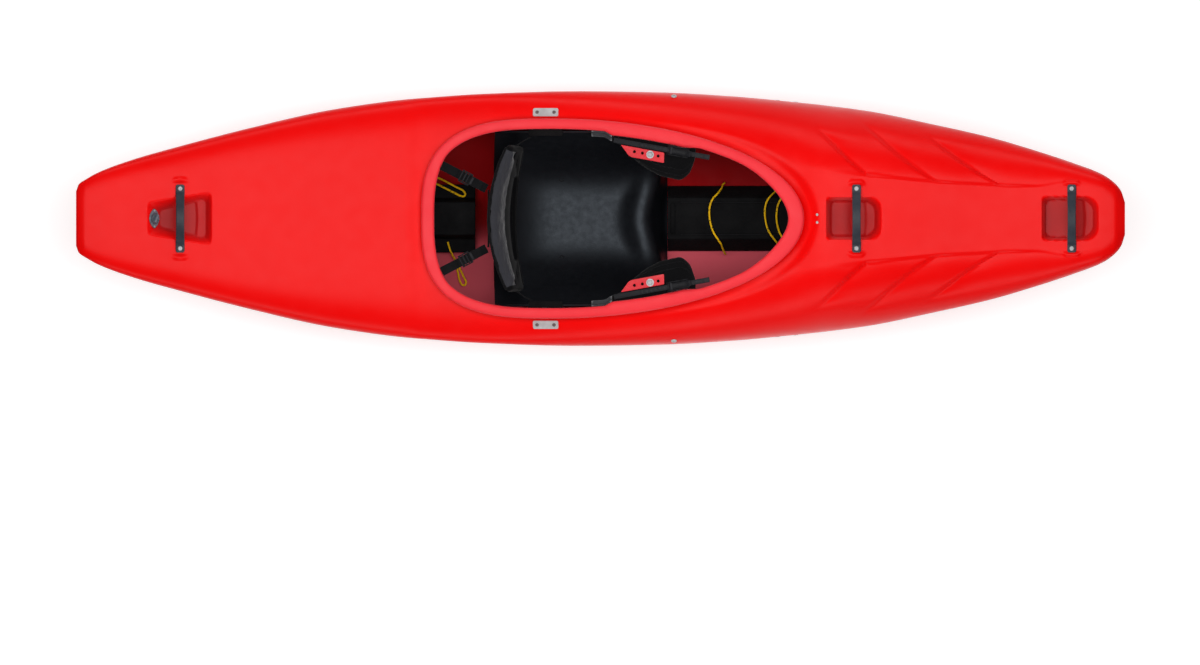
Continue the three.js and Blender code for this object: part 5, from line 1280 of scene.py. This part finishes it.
def rear_strap_line(side):
    """The tab's middle on the rim, its outward direction, the strap's two ends and its rise."""
    outer, out, _ = rim_line(720)
    chosen = (outer[:, 1] * side > 0) & (outer[:, 0] < RIM_X)
    nearest = np.argmin(np.abs(outer[chosen][:, 0] - RIM_TAB_X))
    direction = np.append(out[chosen][nearest], 0)
    point = np.append(outer[chosen][nearest], 0) - direction * (float(band_width(RIM_TAB_X)) + GAP)
    rise = REAR_STRAP_Z - float(rim_top(RIM_TAB_X))
    tab = point - direction * 0.0015
    start = np.array((tab[0], tab[1], REAR_STRAP_Z - rise / 2 - 0.003))
    end = np.array((REAR_STRAP_END[0], side * REAR_STRAP_END[1], REAR_STRAP_Z))
    return tab, direction, start, end, rise


def add_rear_straps():
    for side, word in SIDES:
        tab, out, start, end, rise = rear_strap_line(side)
        along = unit(end - start)
        foot = np.array((tab[0], tab[1], REAR_STRAP_Z - 0.020 - rise / 2))
        corner = [foot, foot + (0, 0, 0.008), start - (0, 0, 0.003), start + along * 0.006,
                  start + along * 0.018]
        bend = catmull(corner, 0.002)
        length = np.linalg.norm(end - start)
        rest = start + along * np.linspace(0.022, length - 0.006, 40)[:, None]
        path = np.concatenate([bend, rest])
        ups = np.array([-out if i < len(bend) * 0.35 else (0, 0, 1.0) for i in range(len(path))])
        for _ in range(6):
            ups[1:-1] = (ups[:-2] + ups[1:-1] + ups[2:]) / 3
        points, faces, uvs = strap_mesh(path, 0.0235, 0.0026, ups)
        over_path = start + along * np.linspace(0.046, length - 0.02, 30)[:, None] + (0, 0, 0.0032)
        lift = 0.0016 * np.sin(np.linspace(0, 1, 30) * math.pi * 3) ** 2
        over_path[:, 2] += lift
        *over, over_uvs = strap_mesh(over_path, 0.0228, 0.0022)
        piece(f"rear_webbing_{word}", *join([(points, faces), over]), WEBBING,
              replaces=f"rear_strap_{word}", slot="webbing", uvs=uvs + over_uvs)
        add_buckle(word, start, along)


def add_buckle(word, start, along):
    bars = [rounded_box((0.030, 0.0030, 0.0085), 0.0012, (0, y, 0.0008)) for y in (-0.0148, 0.0148)]
    for x, size, z in ((-0.0130, 0.0035, 0.0045), (-0.0030, 0.0040, 0.0052), (0.0060, 0.0030, 0.0052),
                       (0.0132, 0.0038, 0.0040)):
        bars.append(rounded_box((size, 0.0290, 0.0028), 0.0011, (x, 0, z)))
    bars.append(rounded_box((0.0065, 0.020, 0.0022), 0.0010, (0.0175, 0, 0.0046)))
    bars += [rounded_box((0.005, 0.0290, 0.0020), 0.0009, (x, 0, -0.0034)) for x in (-0.011, 0.011)]
    points, faces = join(bars)
    normal = np.cross(along, np.cross((0, 0, 1), along))
    piece(f"strap_lock_{word}", placed(points, start + along * BUCKLE_AT, along, normal), faces, BLACK,
          replaces=f"strap_buckle_{word}", slot="black_plastic", sharp=45)


def add_tie():
    behind = np.array(BAND_THICK / 2 + GAP + 0.003)
    x = float(band_place(np.array(0.0), behind, np.array(REAR_STRAP_Z))[0]) - 0.004 - 0.0025
    half = REAR_STRAP_END[1]
    ys = np.linspace(-half, half, 60)
    heights = REAR_STRAP_Z + 0.0052 - 0.0015 * np.cos(ys / half * 1.5)
    path = np.column_stack([x - 0.0010 * np.cos(ys * 60), ys, heights])
    points, faces, uvs = tube_mesh(path, TIE_RADIUS, 12,
                                   bump=lambda s, a: 0.04 * np.sin(6 * a + s * 900))
    piece("band_tie", points, faces, WEBBING, replaces="backband_cord", slot="webbing", uvs=uvs)


add_backband()
add_side_straps()
add_rear_straps()
add_tie()


# Thigh braces
BRACE_START, BRACE_LENGTH, BRACE_WIDTH, BRACE_THICK = 0.030, 0.215, 0.080, 0.024
BRACE_DROOP, BRACE_BELOW, BRACE_EDGE, FRAME_X = 0.016, 0.009, 0.006, 0.200
FRAME_INSET, YAW_SHARE = 0.0149, 0.8
BRACE_WIDTHS = curve_through(((0, 0.1), (0.1, 0.1875), (0.27, 0.6), (0.45, 0.875), (0.62, 1),
                              (0.78, 1), (0.92, 0.75), (1, 0.275)))
RIM_SLOPE = float(rim_top(BRACE_START + BRACE_LENGTH) - rim_top(BRACE_START)) / BRACE_LENGTH


def brace_top(x):
    return float(rim_top(FRAME_X)) - BRACE_BELOW + RIM_SLOPE * (x - FRAME_X)


def rim_half(x):
    """Half width of the clear opening ahead of the rim's widest place."""
    share = abs(x - RIM_X) / RIM_FORE
    return RIM_HALF * math.sqrt(max(0.0, 1 - share ** 2)) - float(band_width(x))


def brace_frame(side):
    """Origin, direction along the ladder strap and normal of a brace's top."""
    step = 0.003
    yaw = YAW_SHARE * math.atan2(rim_half(FRAME_X - step) - rim_half(FRAME_X + step), 2 * step)
    along = (math.cos(yaw), -side * math.sin(yaw), RIM_SLOPE * math.cos(yaw))
    origin = (FRAME_X, side * (rim_half(FRAME_X) - FRAME_INSET), brace_top(FRAME_X))
    return origin, along, (-RIM_SLOPE, 0, 1)


def brace_ring(share, side, count=56):
    """A closed section of the padded hook, from its outer edge over the top and back below."""
    x = BRACE_START + BRACE_LENGTH * share
    outer = float(opening_half(x)) - 0.0004
    w = BRACE_WIDTH * float(BRACE_WIDTHS(share)) + BRACE_EDGE
    round_end = math.sqrt(max(0.0, 1 - max(0.0, (share - 0.93) / 0.07) ** 2))
    round_start = math.sqrt(max(0.0, 1 - max(0.0, (0.03 - share) / 0.03) ** 2))
    ease = 0.35 + 0.65 * round_end * round_start
    inner = outer - w * (0.75 + 0.25 * round_end)
    w = outer - inner
    top = brace_top(x) - BRACE_THICK * 0.5 * (1 - ease)
    thick = BRACE_THICK * ease
    fall = BRACE_DROOP * min(1, w / BRACE_THICK / 2)
    control = [(outer, top - 0.0030), (outer - 0.0008, top - 0.0008), (outer - 0.0035, top),
               (inner + w * 0.60, top + 0.0004), (inner + w * 0.38, top - fall * 0.06),
               (inner + w * 0.14, top - fall * 0.36), (inner + w * 0.02, top - fall * 0.8),
               (inner, top - fall * 1.05), (inner + w * 0.05, top - fall - thick / 2),
               (inner + w * 0.32, top - thick), (inner + w * 0.7, top - thick),
               (outer - 0.0035, top - thick), (outer - 0.0008, top - thick + 0.0008),
               (outer, top - thick + 0.0030)]
    curve = catmull([(0, y, z) for y, z in control], 0.002)
    lengths = run_lengths(curve)
    at = np.linspace(0, lengths[-1], count)
    ys, zs = np.interp(at, lengths, curve[:, 1]), np.interp(at, lengths, curve[:, 2])
    return np.column_stack([np.full(count, x), side * ys, zs]), at / lengths[-1]


def add_brace_pad(side, word):
    shares = np.concatenate([[0.0, 0.008, 0.02], np.linspace(0.04, 0.93, 58),
                             [0.945, 0.96, 0.975, 0.986, 0.995, 1.0]])
    rings = [brace_ring(share, side)[0] for share in shares]
    obj = piece(f"brace_pad_{word}", *skin(rings), PAD, replaces=f"thigh_brace_{word}",
                slot="backband_fabric")
    finish(obj)
    for name, turn, radius in (("inner", 0.40, 0.0016), ("outer", 0.32, 0.0013)):
        path = []
        for share in np.linspace(0.16, 0.975, 60):
            ring, at = brace_ring(share, side)
            path.append([np.interp(turn - 0.06 * (share > 0.9) * (share - 0.9) * 10, at, ring[:, k])
                         for k in range(3)])
        tube, tube_faces, uvs = tube_mesh(np.array(path) + (0, 0, 0.0004), radius, 10)
        piece(f"brace_piping_{name}_{word}", tube, tube_faces, TRIM, slot="webbing", uvs=uvs)


def pierced(outline, holes, sides=24):
    """Points and triangles of a flat plate with round holes, for a Solidify."""
    points = [Vector(p) for p in outline]
    edges = [(i, (i + 1) % len(outline)) for i in range(len(outline))]
    for x, y, radius in holes:
        first = len(points)
        points += [Vector((x + radius * math.cos(k / sides * 2 * math.pi),
                           y + radius * math.sin(k / sides * 2 * math.pi))) for k in range(sides)]
        edges += [(first + k, first + (k + 1) % sides) for k in range(sides)]
    flat, _, faces, *_ = geometry.delaunay_2d_cdt(points, edges, [], 1, 1e-7)
    flat = np.array([(p.x, p.y, 0.0) for p in flat])
    kept = []
    for face in faces:
        middle = flat[list(face)].mean(axis=0)
        if all(math.hypot(middle[0] - x, middle[1] - y) > radius for x, y, radius in holes):
            kept.append(tuple(face))
    return flat, kept


def add_brace_plate(side, word):
    seat = brace_frame(side)
    corners = [(-0.150, -0.009, 0.002), (-0.122, -0.035, 0.009), (-0.031, -0.035, 0.003),
               (-0.035, -0.009, 0.003)]
    outline = [(x, side * y) for x, y in fillet(corners, 8)]
    holes = [(-0.112 + 0.021 * k, side * -0.020, 0.004) for k in range(4)]
    points, faces = pierced(outline, holes)
    points = points + (0, 0, GAP + 0.004)
    obj = piece(f"brace_plate_{word}", placed(points, *seat), faces, PLATE,
                replaces=f"thigh_brace_plate_{word}", slot="red_plate")
    finish(obj)
    if obj.data.polygons[0].normal.z < 0:
        obj.data.flip_normals()
    modify(obj, "SOLIDIFY", thickness=0.004, offset=-1)
    modify(obj, "BEVEL", width=0.0007, segments=3, limit_method="ANGLE", angle_limit=math.radians(50))
    bake(obj)
    smooth(obj, 40)
    bolt_place = placed([(-0.070, side * -0.020, 0.0046)], *seat)[0]
    add_bolt(f"brace_bolt_{word}", f"thigh_brace_bolt_{word}", bolt_place, seat[2],
             (0.0036, 0.0068, 0.0060, 0.0028), washer=(0.010, 0.0018), length=0.014)


def side_profile(points, low, high, edge=0.0008):
    """A plate that stands upright along X from an (x, z) outline, between two places on Y."""
    shape, faces = slab(points, low, high, edge)
    return np.column_stack([shape[:, 0], -shape[:, 2], shape[:, 1]]), faces


PIN_X, PIN_Z = -0.016, 0.0125


def on_pin(points, faces):
    """A body turned from Z onto the ratchet's pin, which lies across the strap."""
    points = np.column_stack([points[:, 0] + PIN_X, points[:, 2], points[:, 1] + PIN_Z])
    return points, [tuple(reversed(f)) for f in faces]


def add_ratchet(side, word):
    seat = brace_frame(side)
    half, cheek = 0.029, 0.003
    cheek_line = [(half, 0.0003, 0.002), (half, 0.0062, 0.003), (0.0145, 0.0093, 0.003),
                  (0.006, 0.0153, 0.004), (-0.022, 0.0153, 0.006), (-half, 0.0120, 0.004),
                  (-half, 0.0003, 0.002)]
    outline = fillet(cheek_line, 5)
    parts = []
    for way in (1, -1):
        low = way * 0.0125 - (cheek if way > 0 else 0)
        parts.append(side_profile(outline, low, low + cheek))
    parts.append(rounded_box((2 * half - 0.001, 0.0195, 0.003), 0.0007, (0, 0, 0.0018)))
    pin = lathe_mesh([(0.0022, -0.0128), (0.0036, -0.0128), (0.0036, -0.0124), (0.0025, -0.0122),
                      (0.0025, 0.0122), (0.0036, 0.0124), (0.0036, 0.0128), (0.0022, 0.0128)], 24)
    parts.append(on_pin(*pin))
    for k in range(3):
        place = (0.017 + 0.004 * k, 0, 0.0060 - 0.0006 * k)
        parts.append(rounded_box((0.0016, 0.019, 0.0022), 0.0005, place))
    points, faces = join(parts)
    piece(f"ratchet_body_{word}", placed(points, *seat), faces, BLACK,
          replaces=f"ratchet_base_{word}", slot="black_plastic", sharp=42)
    add_lever(word, seat)
    add_ladder(word, seat)


def add_lever(word, seat):
    outline = [(-1, 0.0), (-0.97, 0.7), (-0.9, 1.0), (-0.5, 1.05), (0, 1.08), (0.5, 1.05), (0.9, 1.0),
               (0.97, 0.7), (1, 0.0), (0.97, -0.7), (0.9, -1.0), (0, -1.0), (-0.9, -1.0), (-0.97, -0.7)]
    reach, crown = 0.052, 0.0007
    rings = []
    for x in np.linspace(PIN_X, PIN_X + reach, 34):
        share = (x - PIN_X) / reach
        waist = 0.0084 * (1 - 0.16 * math.sin(min(1, share * 1.25) * math.pi) ** 2)
        end = math.sqrt(max(0.0, 1 - max(0.0, (share - 0.9) / 0.1) ** 2)) * 0.25 + 0.75
        rise = 0.0040 * smooth_step(share, 0.70, 1.0)
        low, high = 0.0126 + rise * 0.7, 0.0164 + rise
        rings.append([(x, y * waist * end, (low + high) / 2 + z * (high - low) * 0.47 + crown * (z > 1))
                      for y, z in outline])
    parts = [skin(rings)]
    rows = [(0.0029, -0.0084), (0.0050, -0.0084), (0.0054, -0.0080), (0.0054, 0.0080),
            (0.0050, 0.0084), (0.0029, 0.0084)]
    barrel, barrel_faces = lathe_mesh(rows, 36)
    barrel_faces = [f for f in barrel_faces if len(f) == 4]
    inner = [tuple(reversed(f)) for f in grid_faces(2, 36, False, True)]
    tube = np.concatenate([barrel[:36], barrel[-36:]])
    parts += [on_pin(barrel, barrel_faces), on_pin(tube, inner)]
    for k in range(4):
        place = (0.0225 + 0.0032 * k, 0, 0.0173 + 0.0009 * k)
        parts.append(rounded_box((0.0012, 0.0125, 0.0012), 0.0004, place))
    points, faces = join(parts)
    obj = piece(f"ratchet_paddle_{word}", placed(points, *seat), faces, BLACK,
                body=f"ratchet_lever_{word}", replaces=f"ratchet_lever_{word}", slot="black_plastic")
    finish(obj, 42)


def add_ladder(word, seat):
    low, top, half = 0.0036, 0.0062, 0.0065
    parts = [rounded_box((0.254, 2 * half, 0.0017), 0.0005, (-0.043, 0, low + 0.00085))]
    for way, _ in SIDES:
        place = (-0.008, way * (half - 0.0009), top - 0.0009)
        parts.append(rounded_box((0.184, 0.0016, 0.0012), 0.0004, place))
    for k in range(15):
        x = -0.100 + 0.012 * k
        tooth = [(x, 0.0051), (x + 0.0070, 0.0051), (x + 0.0068, 0.00575), (x + 0.0008, top)]
        outline = fillet([(a, b, 0.0002) for a, b in tooth], 2)
        parts.append(side_profile(outline, -half + 0.0018, half - 0.0018, 0.0002))
    points, faces = join(parts)
    obj = piece(f"ladder_band_{word}", placed(points, *seat), faces, BLACK,
                body=f"ladder_strap_{word}", replaces=f"ladder_strap_{word}", slot="black_plastic")
    finish(obj, 40)


for side, word in SIDES:
    add_brace_pad(side, word)
    add_brace_plate(side, word)
    add_ratchet(side, word)


# Beams on the hull's floor, and the screws of deck and sides
BEAM_SPAN, PILLAR_SPAN = (0.173, 0.560), (-0.560, -0.322)
DECK_SCREW_X, DECK_SCREW_Y = 0.558, 0.010
# Side bolts: piece, node, place along the hull, height
SIDE_BOLTS = (
    ("brace", "brace_side_bolt", 0.189, 0.232),
    ("sleeve_rear", "footrest_bolt_rear", 0.456, 0.130),
    ("sleeve_front", "footrest_bolt_front", 0.503, 0.135),
)


def floor_loft(start, end, half_section, stations=50, corner=0.004):
    """A beam on the floor. half_section(floor) gives the (y, z) rows of its port half."""
    rings = []
    for x in np.linspace(start, end, stations):
        half = half_section(float(section(x)[1]) + WALL + GAP)
        outline = fillet([(y, z, corner) for y, z in half]
                         + [(-y, z, corner) for y, z in reversed(half)], 5)
        rings.append([(x, y, z) for y, z in outline])
    return skin(rings)


def add_front_beam():
    points, faces = floor_loft(*BEAM_SPAN, lambda floor: [
        (0.084, floor + 0.001), (0.083, floor + 0.012), (0.057, 0.068), (0.0525, 0.0755),
        (0.0450, 0.0758), (0.0370, 0.072)], corner=0.0025)
    obj = piece("centre_beam", points, faces, FOAM, replaces="front_beam", slot="black_plastic")
    finish(obj)
    corners = [(0.1785, -0.040, 0.0074), (0.1935, -0.040, 0.0074), (0.1935, 0.040, 0.0074),
               (0.1785, 0.040, 0.0074)]
    cutter = piece("beam_slot", *slab(fillet(corners, 8), 0.062, 0.090, 0.0001), BLACK)
    finish(cutter)
    modify(obj, "BOOLEAN", operation="DIFFERENCE", object=cutter, solver="EXACT")
    bake(obj)
    bpy.data.objects.remove(cutter)
    smooth(obj, 28)
    for way, word in SIDES:
        path = [(x, way * 0.0415, 0.0742) for x in np.linspace(0.202, 0.552, 40)]
        bead, bead_faces, _ = tube_mesh(path, 0.0007, 8)
        piece(f"beam_bead_{word}", bead, bead_faces, BLACK, slot="black_plastic")


def add_pillar():
    points, faces = floor_loft(*PILLAR_SPAN, lambda floor: [
        (0.0875, floor + 0.001), (0.0875, floor + 0.024), (0.052, floor + 0.024), (0.0425, 0.1198)],
        stations=30, corner=0.0045)
    obj = piece("foam_block", points, faces, FOAM, replaces="rear_pillar", slot="foam")
    finish(obj)
    modify(obj, "BEVEL", width=0.003, segments=3, limit_method="ANGLE", angle_limit=math.radians(60))
    bake(obj)
    smooth(obj, 35)


def side_place(x, z, side):
    """A place on the hull's side and the direction square to it."""
    step = WALL
    dx = float(breadth_at(x + step, z) - breadth_at(x - step, z)) / (2 * step)
    dz = float(breadth_at(x, z + step) - breadth_at(x, z - step)) / (2 * step)
    return np.array((x, side * float(breadth_at(x, z)), z)), unit((-dx, side, -dz))


def add_screws():
    for side, word in SIDES:
        place, _, normal = deck_frame(DECK_SCREW_X, side * DECK_SCREW_Y)
        add_bolt(f"rim_screw_{word}", f"deck_screw_{word}", place + normal * 2 * GAP, normal,
                 (0.002, 0.0035, 0.0016, 0.0014), ZINC)
        for name, node, x, z in SIDE_BOLTS:
            place, normal = side_place(x, z, side)
            add_bolt(f"{name}_screw_{word}", f"{node}_{word}", place + normal * 2 * GAP, normal,
                     (0.003, 0.0075, 0.0032, 0.0026), length=0.03)


def finish_footrest():
    for name, material in (("footrest_plate", BRACKET), ("footrest_arm_left", STEEL),
                           ("footrest_arm_right", STEEL), ("footrest_sleeve_left", BRACKET),
                           ("footrest_sleeve_right", BRACKET)):
        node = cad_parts[name]
        node.data.materials.clear()
        node.data.materials.append(material)


add_front_beam()
add_pillar()
add_screws()
finish_footrest()


# Stage and light
FLOOR_X, FLOOR_Y, FLOOR_Z, FLOOR_GLOW = 6, 4.8, -0.0005, 0.6
WORLD_STRENGTH = 0.12
# Lamps: name, place, length and width, watts
LAMPS = (
    ("overhead", (0, 0.05, 3.3), (4.4, 1.7), 98),
    ("side1", (0, 5.0, 2.2), (5.0, 1.4), 85),
    ("side-1", (0, -5.0, 2.2), (5.0, 1.4), 85),
)


def seen_rays(g):
    """One for rays that come from the camera, a gloss or a clear surface, so the stage looks white."""
    path = g.tree.nodes.new("ShaderNodeLightPath")
    seen = path.outputs["Is Camera Ray"]
    for ray in ("Is Glossy Ray", "Is Transmission Ray"):
        seen = g.math("MAXIMUM", seen, path.outputs[ray])
    return seen


def add_stage():
    mesh = bpy.data.meshes.new("floor")
    corners = [(x * FLOOR_X, y * FLOOR_Y, FLOOR_Z) for x, y in ((-1, -1), (1, -1), (1, 1), (-1, 1))]
    mesh.from_pydata(corners, [], [(0, 1, 2, 3)])
    material, g, place, _ = graph("floor_paper")
    paper = g.blend(g.noise(place, 30.0, 2.0), (0.66, 0.66, 0.66), (0.69, 0.69, 0.69))
    glow = g.math("MULTIPLY", seen_rays(g), FLOOR_GLOW)
    g.feed(g.shader, {"Base Color": paper, "Emission Color": (1, 1, 1, 1), "Emission Strength": glow,
                      "Roughness": 0.9, "Specular IOR Level": 0.1})
    mesh.materials.append(material)
    floor = bpy.data.objects.new("floor", mesh)
    SCENE.collection.objects.link(floor)


def add_light(name, place, size, watts):
    """A lamp that points at the middle of the boat."""
    data = bpy.data.lights.new(name, "AREA")
    data.shape = "RECTANGLE"
    data.size, data.size_y = size
    data.energy = watts
    light = bpy.data.objects.new(name, data)
    light.location = place
    aim = Vector((0, 0, 0.2)) - Vector(place)
    light.rotation_euler = aim.to_track_quat("-Z", "Y").to_euler()
    SCENE.collection.objects.link(light)


def add_world(strength):
    """A dim white world that the camera sees at full strength."""
    world = bpy.data.worlds.new("world")
    SCENE.world = world
    g = Graph(world)
    seen = g.add("LightPath", "Is Camera Ray")
    g.feed(g.tree.nodes["Background"], {"Color": (1, 1, 1, 1), "Strength": g.spread(seen, strength, 1.0)})


add_stage()
add_world(WORLD_STRENGTH)
for lamp in LAMPS:
    add_light(*lamp)
SCENE.view_settings.view_transform = "Standard"
